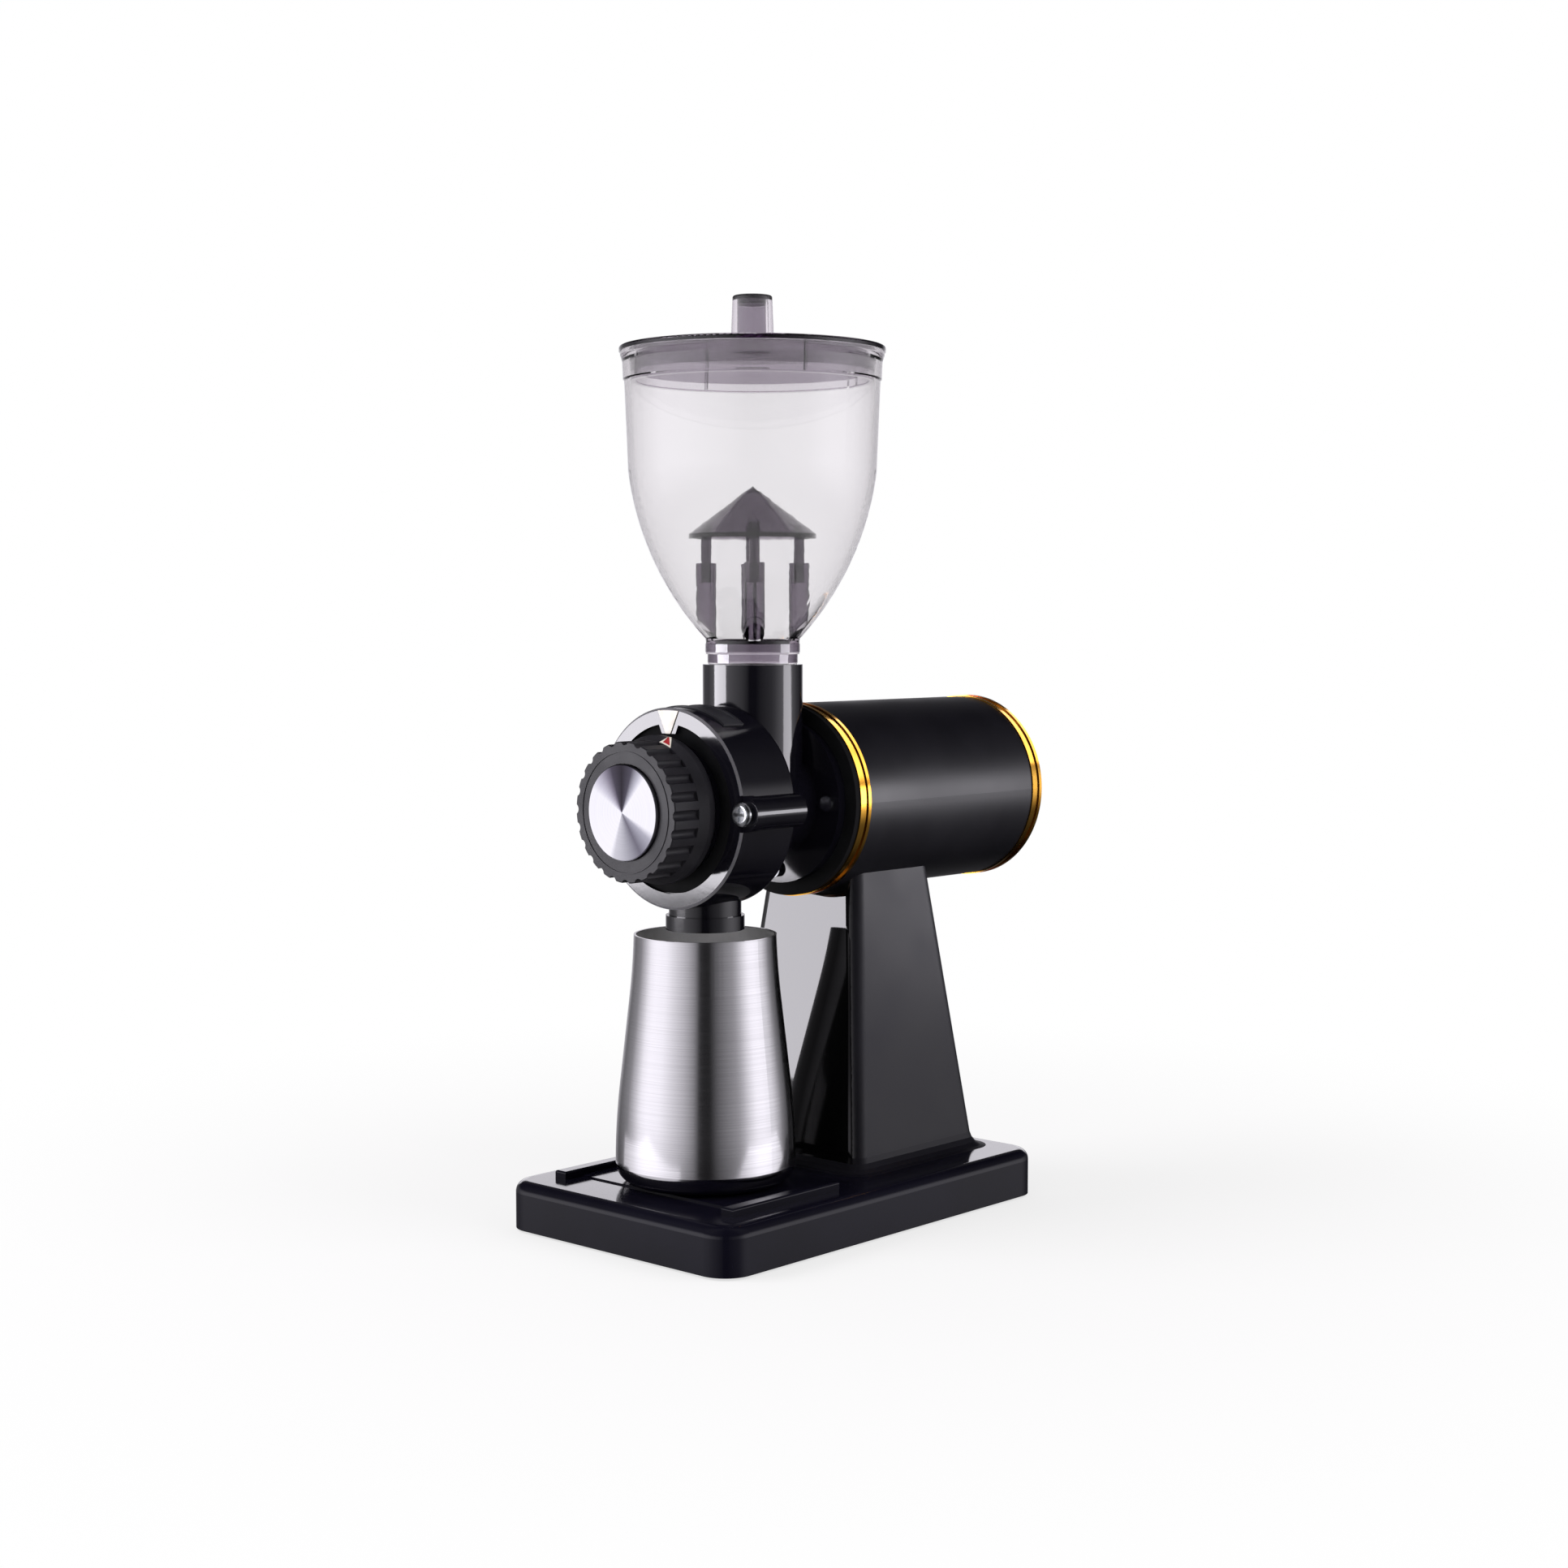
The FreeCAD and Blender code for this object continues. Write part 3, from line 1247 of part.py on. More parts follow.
def make_rear_cap():
    bearing_rear = rear_bearing_front + s.rear_bearing_depth
    cap = on_axis(turned_body("end_cap", [
        (0, bearing_rear), (s.rear_bearing_radius, bearing_rear), (s.rear_bearing_radius, brush_plate_rear),
        (s.tube_bore, brush_plate_rear), (s.tube_bore, ring_rear),
        (s.rear_cap_dome_radius, ring_rear, s.rear_cap_dome),
        (s.rear_cap_dome_radius - s.rear_cap_dome, rear_end), (0, rear_end),
    ]))
    hollow = new_sketch(cap, "cap_hollow", "XY_Plane", brush_plate_rear)
    circle(hollow, 0, 0, s.vent_outer)
    circle(hollow, 0, 0, s.rear_bearing_radius + s.rear_cap_floor)
    pocket(cap, hollow, rear_end - brush_plate_rear - s.rear_cap_floor, "cap_inside")
    vent = new_sketch(cap, "vent_plan", "XY_Plane", brush_plate_rear)
    half = s.vent_width / 2
    outline(vent, rounded_rectangle(s.vent_inner, s.vent_outer - half, -half, half, half * 0.9))
    slot = pocket(cap, vent, rear_end - brush_plate_rear, "vent")
    repeat(cap, slot, vent, s.vent_count, "vents")
    places = rear_screw_places()
    bosses = new_sketch(cap, "cap_boss_plan", "XY_Plane", brush_plate_rear)
    sinks = new_sketch(cap, "cap_sink_plan", "XY_Plane", rear_end - s.rear_screw_sink)
    holes = new_sketch(cap, "cap_hole_plan", "XY_Plane", brush_plate_rear)
    for x, y in places:
        circle(bosses, x, y, s.rear_boss_radius)
        circle(sinks, x, y, s.screw_head_radius + s.screw_head_gap)
        circle(holes, x, y, s.screw_radius)
    pad(cap, bosses, rear_end - brush_plate_rear - s.rear_cap_floor, "cap_bosses")
    pocket(cap, sinks, s.rear_screw_sink, "cap_sinks")
    pocket(cap, holes, rear_end - brush_plate_rear, "cap_holes")
    piece(cap, "rear_cap")

    screws = on_axis(new_body("cap_screws"))
    heads = new_sketch(screws, "cap_head_plan", "XY_Plane", rear_end - s.rear_screw_sink)
    shanks = new_sketch(screws, "cap_shank_plan", "XY_Plane", brush_plate_front)
    slots = new_sketch(screws, "cap_slot_plan", "XY_Plane",
                       rear_end - s.rear_screw_sink + s.screw_head_height / 2)
    half = s.cross_width / 2
    reach = s.screw_head_radius + half
    for x, y in places:
        circle(heads, x, y, s.screw_head_radius)
        circle(shanks, x, y, s.screw_radius)
        outline(slots, rectangle(x - reach, x + reach, y - half, y + half))
    pad(screws, heads, s.screw_head_height, "cap_heads")
    pad(screws, shanks, rear_end - s.rear_screw_sink - brush_plate_front, "cap_shanks")
    pocket(screws, slots, s.screw_head_height / 2, "cap_slots")
    piece(screws, "rear_screws")


# The rear screws stand between the vents.
def rear_screw_places():
    places = []
    for step in range(3):
        angle = math.radians(120.0 * step) + math.pi / driving["vent_count"]
        places.append((s.rear_screw_circle * math.cos(angle), s.rear_screw_circle * math.sin(angle)))
    return places


def make_stator():
    magnets = on_axis(new_body("magnet_pair"))
    profile = new_sketch(magnets, "magnet_profile", "XZ_Plane")
    outline(profile, rectangle(s.magnet_bore, s.tube_bore, s.magnet_front, s.magnet_front + s.magnet_length))
    first = turn(magnets, profile, "magnet_arc")
    first.Midplane = True
    bind(first, "Angle", s.magnet_angle)
    repeat(magnets, first, profile, 2, "magnet_arcs", "V_Axis")
    piece(magnets, "magnets")

    plate = on_axis(turned_body("brush_disc", rectangle(
        s.shaft_radius + s.fan_clear, s.tube_bore - s.plate_gap, brush_plate_front, brush_plate_rear)))
    holes = new_sketch(plate, "brush_disc_holes", "XY_Plane", brush_plate_front)
    for x, y in rear_screw_places():
        circle(holes, x, y, s.screw_radius)
    pocket(plate, holes, s.brush_plate_depth, "brush_disc_bores")
    piece(plate, "brush_plate")

    middle = (commutator_front + commutator_rear) / 2
    tall = s.brush_width + s.holder_wall * 2
    front = middle - s.brush_depth / 2 - s.holder_wall
    start = s.commutator_radius + s.holder_gap
    tip = s.commutator_radius + s.brush_gap
    holders = []
    carbons = []
    for index, sign in enumerate((-1, 1)):
        holder_x = start if sign > 0 else -start - s.holder_length
        brush_x = tip if sign > 0 else -tip - s.brush_length
        case = box(f"holder_case_{index}", s.holder_length, brush_plate_front - front, tall, holder_x, front,
                   s.axis_height - tall / 2)
        way = box(f"holder_way_{index}", s.holder_length, s.brush_depth, s.brush_width, holder_x,
                  middle - s.brush_depth / 2, s.axis_height - s.brush_width / 2)
        holders.append(cut(f"holder_{index}", case, [way]))
        carbons.append(box(f"brush_{index}", s.brush_length, s.brush_depth, s.brush_width, brush_x,
                           middle - s.brush_depth / 2, s.axis_height - s.brush_width / 2))
    piece(group("holder_pair", holders), "brush_holders")
    piece(group("brush_pair", carbons), "brushes")


def make_armature():
    core = on_axis(turned_body("lamination_stack", rectangle(s.shaft_radius, s.core_radius, s.core_front,
                                                            core_rear)))
    slot = new_sketch(core, "slot_plan", "XY_Plane", s.core_front)
    half = s.slot_width / 2
    floor = s.core_radius - s.slot_depth
    outline(slot, rectangle(floor, s.core_radius + half, -half, half))
    first = pocket(core, slot, s.core_length, "slot")
    repeat(core, first, slot, s.slot_count, "slots")
    piece(core, "armature_core")

    inner = s.shaft_radius + s.coil_clear
    outer = s.coil_radius
    bend = s.coil_round
    coils = on_axis(turned_body("coil_set", [
        (inner, s.core_front), (inner, s.core_front - s.coil_overhang),
        (outer - bend, s.core_front - s.coil_overhang, bend),
        (outer, s.core_front - s.coil_overhang + bend), (outer, s.core_front),
    ]))
    rear = new_sketch(coils, "coil_rear_profile", "XZ_Plane")
    outline(rear, [
        (inner, core_rear), (outer, core_rear), (outer, core_rear + s.coil_overhang - bend, bend),
        (outer - bend, core_rear + s.coil_overhang), (inner, core_rear + s.coil_overhang),
    ])
    turn(coils, rear, "coil_rear")
    bar = new_sketch(coils, "coil_bar_plan", "XY_Plane", s.core_front)
    half = s.slot_width / 2 - s.coil_gap
    outline(bar, rectangle(floor, outer, -half, half))
    side = pad(coils, bar, s.core_length, "coil_bar")
    repeat(coils, side, bar, s.slot_count, "coil_bars")
    piece(coils, "windings")

    drum = on_axis(turned_body("copper_drum", rectangle(s.shaft_radius, s.commutator_radius,
                                                       commutator_front, commutator_rear)))
    piece(drum, "commutator")

    fan_front = s.flange_rear + s.spigot_depth + s.fan_clear
    fan = on_axis(turned_body("cooling_fan", [
        (s.shaft_radius, fan_front), (s.fan_radius, fan_front), (s.fan_radius, fan_front + s.fan_disc),
        (s.fan_hub_radius, fan_front + s.fan_disc), (s.fan_hub_radius, fan_front + s.fan_depth),
        (s.shaft_radius, fan_front + s.fan_depth),
    ]))
    blade = new_sketch(fan, "blade_plan", "XY_Plane", fan_front + s.fan_disc)
    half = s.fan_blade / 2
    outline(blade, rectangle(s.fan_hub_radius - half, s.fan_radius - half, -half, half))
    vane = pad(fan, blade, s.fan_depth - s.fan_disc, "blade")
    repeat(fan, vane, blade, s.fan_blades, "blades")
    piece(fan, "fan")


hopper_seat = s.throat_top + s.seat_gap
plug_radius = s.throat_bore - s.plug_gap
plug_bore = plug_radius - s.plug_wall


def hopper_outside():
    return [
        (s.neck_groove_radius, hopper_seat), (s.neck_groove_radius, s.neck_band_bottom),
        (s.neck_band_radius, s.neck_band_bottom), (s.neck_band_radius, s.neck_top),
        (s.bowl_foot_radius, s.bowl_foot, s.bowl_curve), (s.bowl_radius, s.bowl_top),
        (s.hopper_band_radius, s.hopper_band),
        (s.hopper_band_radius + s.hopper_band_step, s.hopper_band + s.hopper_band_step),
        (s.hopper_lip_radius, s.hopper_lip), (s.hopper_rim_radius, s.hopper_top - s.hopper_rim),
        (s.hopper_rim_radius, s.hopper_top),
    ]


def post_places():
    places = []
    for step in range(4):
        angle = math.radians(90.0 * step + 45.0)
        places.append((s.post_circle * math.cos(angle), s.hopper_y + s.post_circle * math.sin(angle)))
    return places


def make_hopper():
    inside = s.hopper_band_radius - s.hopper_wall
    bowl_inside = s.bowl_radius - s.hopper_wall
    shell = turned_body("bean_bowl", [
        (plug_bore, hopper_seat - s.plug_length), (plug_radius, hopper_seat - s.plug_length),
        (plug_radius, hopper_seat),
    ] + hopper_outside() + [
        (inside + s.hopper_band_step, s.hopper_top), (inside, s.hopper_band),
        (bowl_inside, s.bowl_top, s.hopper_wall - s.bowl_curve), (plug_bore, s.bowl_foot - s.hopper_wall),
    ])
    place(shell, 0, s.hopper_y, 0)
    form = turned_body("bowl_form", [(0, hopper_seat)] + hopper_outside() + [(0, s.hopper_top)])
    place(form, 0, s.hopper_y, 0)
    sockets = []
    holes = []
    for index, (x, y) in enumerate(post_places()):
        sockets.append(cylinder(f"socket_{index}", s.socket_radius, s.socket_top - s.neck_top, x, y,
                                s.neck_top))
        holes.append(cylinder(f"socket_hole_{index}", s.pin_post_radius + s.pin_post_gap, s.pin_post_depth,
                              x, y, s.socket_top - s.pin_post_depth))
    trimmed = doc.addObject("Part::Common", "sockets_inside")
    trimmed.Base = fused("sockets", sockets)
    trimmed.Tool = form
    piece(cut("bowl_drilled", fused("bowl_with_sockets", [shell, trimmed]), holes), "hopper")

    fall = (s.guard_apex - s.guard_eave) / s.guard_radius
    roof = turned_body("guard_roof", [
        (0, s.guard_apex - s.guard_wall), (s.guard_radius, s.guard_eave - s.guard_wall),
        (s.guard_radius, s.guard_eave), (0, s.guard_apex),
    ])
    place(roof, 0, s.hopper_y, 0)
    foot = s.socket_top - s.pin_post_depth + s.seat_gap
    top = s.guard_apex - fall * (s.post_circle + s.pin_post_radius)
    parts = [roof]
    for index, (x, y) in enumerate(post_places()):
        parts.append(cylinder(f"guard_post_{index}", s.pin_post_radius, top - foot, x, y, foot))
    piece(fused("guard_with_posts", parts), "bean_guard")


def make_lid():
    low = s.hopper_top + s.seat_gap
    top = low + s.lid_thickness
    skirt = s.hopper_band_radius - s.hopper_wall - s.lid_skirt_gap
    inner = skirt - s.lid_skirt_wall
    body = turned_body("hopper_lid", [
        (0, s.lid_knob_top - s.lid_knob_wall), (s.lid_knob_radius - s.lid_knob_wall,
                                               s.lid_knob_top - s.lid_knob_wall),
        (s.lid_knob_foot_radius - s.lid_knob_wall, low), (inner, low), (inner, low - s.lid_skirt_depth),
        (skirt, low - s.lid_skirt_depth), (skirt, low), (s.lid_radius, low),
        (s.lid_radius, top - s.lid_edge, s.lid_edge), (s.lid_radius - s.lid_edge, top),
        (s.lid_knob_foot_radius, top), (s.lid_knob_radius, s.lid_knob_top - s.lid_edge, s.lid_edge),
        (s.lid_knob_radius - s.lid_edge, s.lid_knob_top), (0, s.lid_knob_top),
    ])
    place(body, 0, s.hopper_y, 0)
    piece(body, "lid")


def make_cup():
    low = s.base_top + s.stand_height + s.seat_gap
    wall = s.cup_wall
    bend = s.cup_round
    body = turned_body("grounds_cup", [
        (0, low), (s.cup_radius - bend, low, bend), (s.cup_radius, low + bend, s.cup_side_curve),
        (s.cup_side_radius, s.cup_side), (s.cup_neck_radius, s.cup_neck, -s.cup_neck_curve),
        (s.cup_rim_radius, s.cup_rim), (s.cup_rim_radius - wall, s.cup_rim, s.cup_neck_curve),
        (s.cup_neck_radius - wall, s.cup_neck), (s.cup_side_radius - wall, s.cup_side, -s.cup_side_curve),
        (s.cup_radius - wall, low + bend, wall - bend), (s.cup_radius - bend, low + wall), (0, low + wall),
    ])
    place(body, 0, s.cup_y, 0)
    piece(body, "cup")


make_base()
make_base_plate()
make_power_board()
make_gland()
make_column()
make_switch()
make_grinder_body()
make_cover()
make_cover_screws()
make_knob()
make_fixed_burr()
make_rotor_burr()
make_shaft()
make_bearings()
make_motor_case()
make_rear_cap()
make_stator()
make_armature()
make_hopper()
make_lid()
make_cup()

doc.recompute()
for item in doc.Objects:
    if "Invalid" in item.State or "Error" in item.State:
        raise RuntimeError(f"{item.Label} failed: {item.State}")
for item in pieces:
    if item.Shape.isNull() or not item.Shape.isValid() or not item.Shape.Solids:
        raise RuntimeError(f"{item.Label} has no valid solid")

os.makedirs("parts", exist_ok=True)
for item in pieces:
    item.Shape.exportStep(f"parts/{item.Label}.step")
    print(item.Label, len(item.Shape.Solids), round(item.Shape.Volume, 1))
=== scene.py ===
import json
import math

import bmesh
import bpy
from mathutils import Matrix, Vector

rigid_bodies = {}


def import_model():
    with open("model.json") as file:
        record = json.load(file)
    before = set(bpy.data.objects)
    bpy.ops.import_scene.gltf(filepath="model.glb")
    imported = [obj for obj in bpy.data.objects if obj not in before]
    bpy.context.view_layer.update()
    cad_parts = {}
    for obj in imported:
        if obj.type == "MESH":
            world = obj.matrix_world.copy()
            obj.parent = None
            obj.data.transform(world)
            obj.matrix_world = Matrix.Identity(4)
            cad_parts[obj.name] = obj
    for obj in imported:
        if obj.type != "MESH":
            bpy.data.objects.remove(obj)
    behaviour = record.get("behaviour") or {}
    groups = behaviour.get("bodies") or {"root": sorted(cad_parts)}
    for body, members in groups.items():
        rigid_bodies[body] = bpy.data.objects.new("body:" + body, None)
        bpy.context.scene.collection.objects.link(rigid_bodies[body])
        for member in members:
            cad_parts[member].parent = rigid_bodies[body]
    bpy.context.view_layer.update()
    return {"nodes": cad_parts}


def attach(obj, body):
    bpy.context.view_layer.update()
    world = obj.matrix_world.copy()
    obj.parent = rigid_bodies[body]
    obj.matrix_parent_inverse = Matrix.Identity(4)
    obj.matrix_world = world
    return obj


mm = 0.001
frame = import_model()
axisHeight = 171.4 * mm  # the motor's axis above the table
hopperAxis = (0, -32.95)  # mm, upright through the hopper, its lid and the bean guard
print("frame loaded:", len(frame["nodes"]), "nodes")


def hexColour(text):
    parts = [int(text[i:i + 2], 16) / 255 for i in (1, 3, 5)]
    linear = [c / 12.92 if c <= 0.04045 else ((c + 0.055) / 1.055) ** 2.4 for c in parts]
    return (*linear, 1.0)


# settings fill sockets, ramp stops or plain properties; links join a socket to an input
def addNode(tree, kind, settings=None, links=None):
    node = tree.nodes.new(kind)
    for key, value in (settings or {}).items():
        if key == "stops":
            while len(node.color_ramp.elements) < len(value):
                node.color_ramp.elements.new(0.5)
            for stop, (place, colour) in zip(node.color_ramp.elements, value):
                stop.position = place
                stop.color = colour
        elif isinstance(key, int) or key in node.inputs.keys():
            node.inputs[key].default_value = value
        else:
            setattr(node, key, value)
    for key, socket in (links or {}).items():
        tree.links.new(socket, node.inputs[key])
    return node


# Studio: the camera looks from the photo's angle, and two lamps light what is matt
studio = {
    "cameraPlace": (0.67898, -0.7627, 0.2484),
    "cameraTurn": (86.001, 0.0, 42.207),  # degrees
    "lens": 56.41,  # mm
    "sensor": 36,  # mm
    "nearest": 0.05,  # where the camera starts to see
    "ambient": 0.55,  # even light from the room on matt surfaces
    "keyLamp": {"place": (-0.75, -1.05, 1.15), "size": (0.9, 0.9), "watts": 14.0},
    "fillLamp": {"place": (1.15, 0.45, 0.95), "size": (0.9, 0.9), "watts": 7.0},
    "lampAim": (0, -0.02, 0.16),
    "middle": -0.03,  # of the grinder, front to back
    "wattsPerGlow": 4,  # for each square metre that shines as bright as white
    "tint": (1.0, 0.975, 1.04),  # the photo's faint lilac cast
}
# Softboxes only show as reflections, and flags keep each to the pieces that it lights. bearing is counted
# in degrees from the camera towards its right, reach is the distance and centre the height
castings = ("grinder_body cover cover_edge spout_ring motor_tube rear_cap rear_ring pointer "
            "cover_screws neck_collar neck_band ")
softboxes = {
    "softboxLeft": {"bearing": -80, "reach": 1.0, "size": (0.62, 0.34), "centre": 0.20,
                    "glow": 10.0, "lights": castings + "column"},
    "softboxRight": {"bearing": 88, "reach": 1.0, "size": (0.46, 0.26), "centre": 0.19,
                     "glow": 5.0, "lights": castings + "front_ring"},
    "knobCard": {"bearing": -80, "reach": 1.0, "size": (0.62, 0.34), "centre": 0.20,
                 "glow": 2.6, "lights": "knob"},
    "softboxRear": {"bearing": 180, "reach": 1.0, "size": (1.3, 0.26), "centre": 0.22,
                    "glow": 1.2, "lights": "base"},
    "sideCard": {"bearing": 101, "reach": 0.40, "size": (0.12, 0.12), "centre": 0.17,
                 "glow": 0.34, "lights": "column", "aim": (0.03, 0.11, 0.16), "spread": 34},
    "goldCard": {"bearing": 120, "reach": 0.8, "size": (0.9, 0.8), "centre": 0.75,
                 "glow": 2.4, "lights": "front_ring rear_ring", "aim": (0.03, 0.08, 0.17)},
    # the table's bright halves, facing up, as bare metal sees them from above
    "tableLeft": {"bearing": -80, "reach": 1.35, "size": (2, 2), "centre": -0.3,
                  "glow": 0.55, "lights": "cup knob_insert", "aim": (-0.827, -1.098, 1)},
    "tableRight": {"bearing": 80, "reach": 1.35, "size": (2, 2), "centre": -0.3,
                   "glow": 0.55, "lights": "cup knob_insert", "aim": (1.143, 0.69, 1)},
}
cameraBearing = math.radians(studio["cameraTurn"][2])
towardsCamera = Vector((math.sin(cameraBearing), -math.cos(cameraBearing), 0))
cameraRight = Vector((math.cos(cameraBearing), math.sin(cameraBearing), 0))


def setCamera():
    data = bpy.data.cameras.new("camera")
    data.sensor_width = studio["sensor"]
    data.lens = studio["lens"]
    data.clip_start = studio["nearest"]
    data.dof.use_dof = False
    camera = bpy.data.objects.new("camera", data)
    camera.location = studio["cameraPlace"]
    camera.rotation_euler = [math.radians(turn) for turn in studio["cameraTurn"]]
    bpy.context.scene.collection.objects.link(camera)
    bpy.context.scene.camera = camera


def addLamp(name, place, aim, size, watts, forGloss, spread=180):
    data = bpy.data.lights.new(name, "AREA")
    data.shape = "RECTANGLE"
    data.size, data.size_y = size
    data.energy = watts
    data.color = studio["tint"]
    data.spread = math.radians(spread)
    lamp = bpy.data.objects.new(name, data)
    lamp.location = place
    lamp.rotation_euler = (aim - place).to_track_quat("-Z", "Y").to_euler()
    lamp.visible_glossy = forGloss
    lamp.visible_diffuse = not forGloss
    lamp.visible_transmission = False
    lamp.visible_camera = False
    bpy.context.scene.collection.objects.link(lamp)


def lightStudio():
    for name, box in softboxes.items():
        turn = math.radians(box["bearing"])
        way = towardsCamera * math.cos(turn) + cameraRight * math.sin(turn)
        middle = Vector((0, studio["middle"], box["centre"]))
        place = way * box["reach"] + middle
        width, height = box["size"]
        watts = studio["wattsPerGlow"] * width * height * box["glow"]
        aim = Vector(box.get("aim", middle))
        addLamp(name, place, aim, box["size"], watts, True, box.get("spread", 180))
    for name in ("keyLamp", "fillLamp"):
        lamp = studio[name]
        aim = Vector(studio["lampAim"])
        addLamp(name, Vector(lamp["place"]), aim, lamp["size"], lamp["watts"], False)


# What shiny surfaces see round the studio. levels is the light by bearing, from behind the object by way
# of the camera's left to the camera at 0 and on by its right, set to the cup in the photo
surroundings = {
    "levels": [(-180, 1.0), (-166, 0.7), (-146, 0.2), (-120, 0.38), (-104, 0.96), (-93, 1.56), (-82, 1.75),
               (-62, 1.65), (-45, 1.2), (-27, 0.77), (-13, 0.36), (-7, 0.03), (8, 0.02), (20, 0.2),
               (45, 0.48), (53, 0.74), (62, 1.2), (72, 1.65), (84, 1.72), (93, 1.53), (104, 1.03),
               (120, 0.32), (138, 0.06), (150, 0.06), (166, 0.7), (180, 1.0)],
    "fade": (0.07, 0.36),  # slopes, as sines, between which the light falls off up and down
    "farLevel": 0.11,  # what is left of it above and below
}


def paintSurroundings():
    world = bpy.data.worlds.new("studio")
    world.use_nodes = True
    world.cycles.sampling_method = "NONE"
    bpy.context.scene.world = world
    tree = world.node_tree
    tree.nodes.clear()
    path = addNode(tree, "ShaderNodeLightPath")
    coords = addNode(tree, "ShaderNodeTexCoord")
    ahead = addNode(tree, "ShaderNodeVectorMath", {"operation": "DOT_PRODUCT", 1: towardsCamera},
                    {0: coords.outputs["Generated"]})
    aside = addNode(tree, "ShaderNodeVectorMath", {"operation": "DOT_PRODUCT", 1: cameraRight},
                    {0: coords.outputs["Generated"]})
    angle = addNode(tree, "ShaderNodeMath", {"operation": "ARCTAN2"},
                    {0: aside.outputs["Value"], 1: ahead.outputs["Value"]})
    share = addNode(tree, "ShaderNodeMapRange", {"From Min": -math.pi, "From Max": math.pi},
                    {"Value": angle.outputs["Value"]})
    stops = [((turn + 180) / 360, (*[level * c for c in studio["tint"]], 1))
             for turn, level in surroundings["levels"]]
    ring = addNode(tree, "ShaderNodeValToRGB", {"stops": stops}, {"Fac": share.outputs["Result"]})
    parts = addNode(tree, "ShaderNodeSeparateXYZ", {}, {"Vector": coords.outputs["Generated"]})
    slope = addNode(tree, "ShaderNodeMath", {"operation": "ABSOLUTE"}, {0: parts.outputs["Z"]})
    start, end = surroundings["fade"]
    fall = addNode(tree, "ShaderNodeMapRange",
                   {"From Min": start, "From Max": end, "To Min": 1.0, "To Max": surroundings["farLevel"],
                    "interpolation_type": "SMOOTHSTEP"},
                   {"Value": slope.outputs[0]})
    shiny = addNode(tree, "ShaderNodeBackground", {},
                    {"Color": ring.outputs["Color"], "Strength": fall.outputs["Result"]})
    matt = addNode(tree, "ShaderNodeBackground",
                   {"Color": hexColour("#ffffff"), "Strength": studio["ambient"]})
    white = addNode(tree, "ShaderNodeBackground", {"Color": hexColour("#ffffff"), "Strength": 1.0})
    seen = addNode(tree, "ShaderNodeMath", {"operation": "MAXIMUM"},
                   {0: path.outputs["Is Camera Ray"], 1: path.outputs["Is Transmission Ray"]})
    lit = addNode(tree, "ShaderNodeMixShader", {},
                  {0: path.outputs["Is Glossy Ray"], 1: matt.outputs[0], 2: shiny.outputs[0]})
    both = addNode(tree, "ShaderNodeMixShader", {},
                   {0: seen.outputs[0], 1: lit.outputs[0], 2: white.outputs[0]})
    addNode(tree, "ShaderNodeOutputWorld", {}, {"Surface": both.outputs[0]})


# Pale table: matt close to the object, where it takes the shadow, fading to the white background
table = {"colour": "#f4f3f2", "radius": 2.6, "sides": 96, "drop": 0.0002,  # metres, below the feet
         "fade": (0.14, 0.5), "nearWhite": 0.7}  # share of white before the fade


def layFloor():
    mesh = bpy.data.meshes.new("floor")
    shape = bmesh.new()
    bmesh.ops.create_circle(shape, cap_ends=True, segments=table["sides"], radius=table["radius"])
    shape.to_mesh(mesh)
    shape.free()
    floor = bpy.data.objects.new("floor", mesh)
    floor.location.z = -table["drop"]
    floor.visible_glossy = False
    bpy.context.scene.collection.objects.link(floor)
    material = bpy.data.materials.new("paleTable")
    material.use_nodes = True
    tree = material.node_tree
    tree.nodes.clear()
    path = addNode(tree, "ShaderNodeLightPath")
    coords = addNode(tree, "ShaderNodeTexCoord")
    away = addNode(tree, "ShaderNodeVectorMath", {"operation": "LENGTH"}, {0: coords.outputs["Object"]})
    start, end = table["fade"]
    fade = addNode(tree, "ShaderNodeMapRange",
                   {"From Min": start, "From Max": end, "To Min": table["nearWhite"], "To Max": 1.0,
                    "interpolation_type": "SMOOTHSTEP"},
                   {"Value": away.outputs["Value"]})
    seen = addNode(tree, "ShaderNodeMath", {"operation": "MAXIMUM"},
                   {0: path.outputs["Is Camera Ray"], 1: path.outputs["Is Transmission Ray"]})
    share = addNode(tree, "ShaderNodeMath", {"operation": "MULTIPLY"},
                    {0: seen.outputs[0], 1: fade.outputs["Result"]})
    matt = addNode(tree, "ShaderNodeBsdfDiffuse", {"Color": hexColour(table["colour"])})
    white = addNode(tree, "ShaderNodeEmission", {"Color": hexColour("#ffffff"), "Strength": 1.0})
    both = addNode(tree, "ShaderNodeMixShader", {},
                   {0: share.outputs[0], 1: matt.outputs[0], 2: white.outputs[0]})
    addNode(tree, "ShaderNodeOutputMaterial", {}, {"Surface": both.outputs[0]})
    mesh.materials.append(material)


setCamera()
lightStudio()
paintSurroundings()
layFloor()
bpy.context.scene.view_settings.view_transform = "Standard"
print("studio ready")


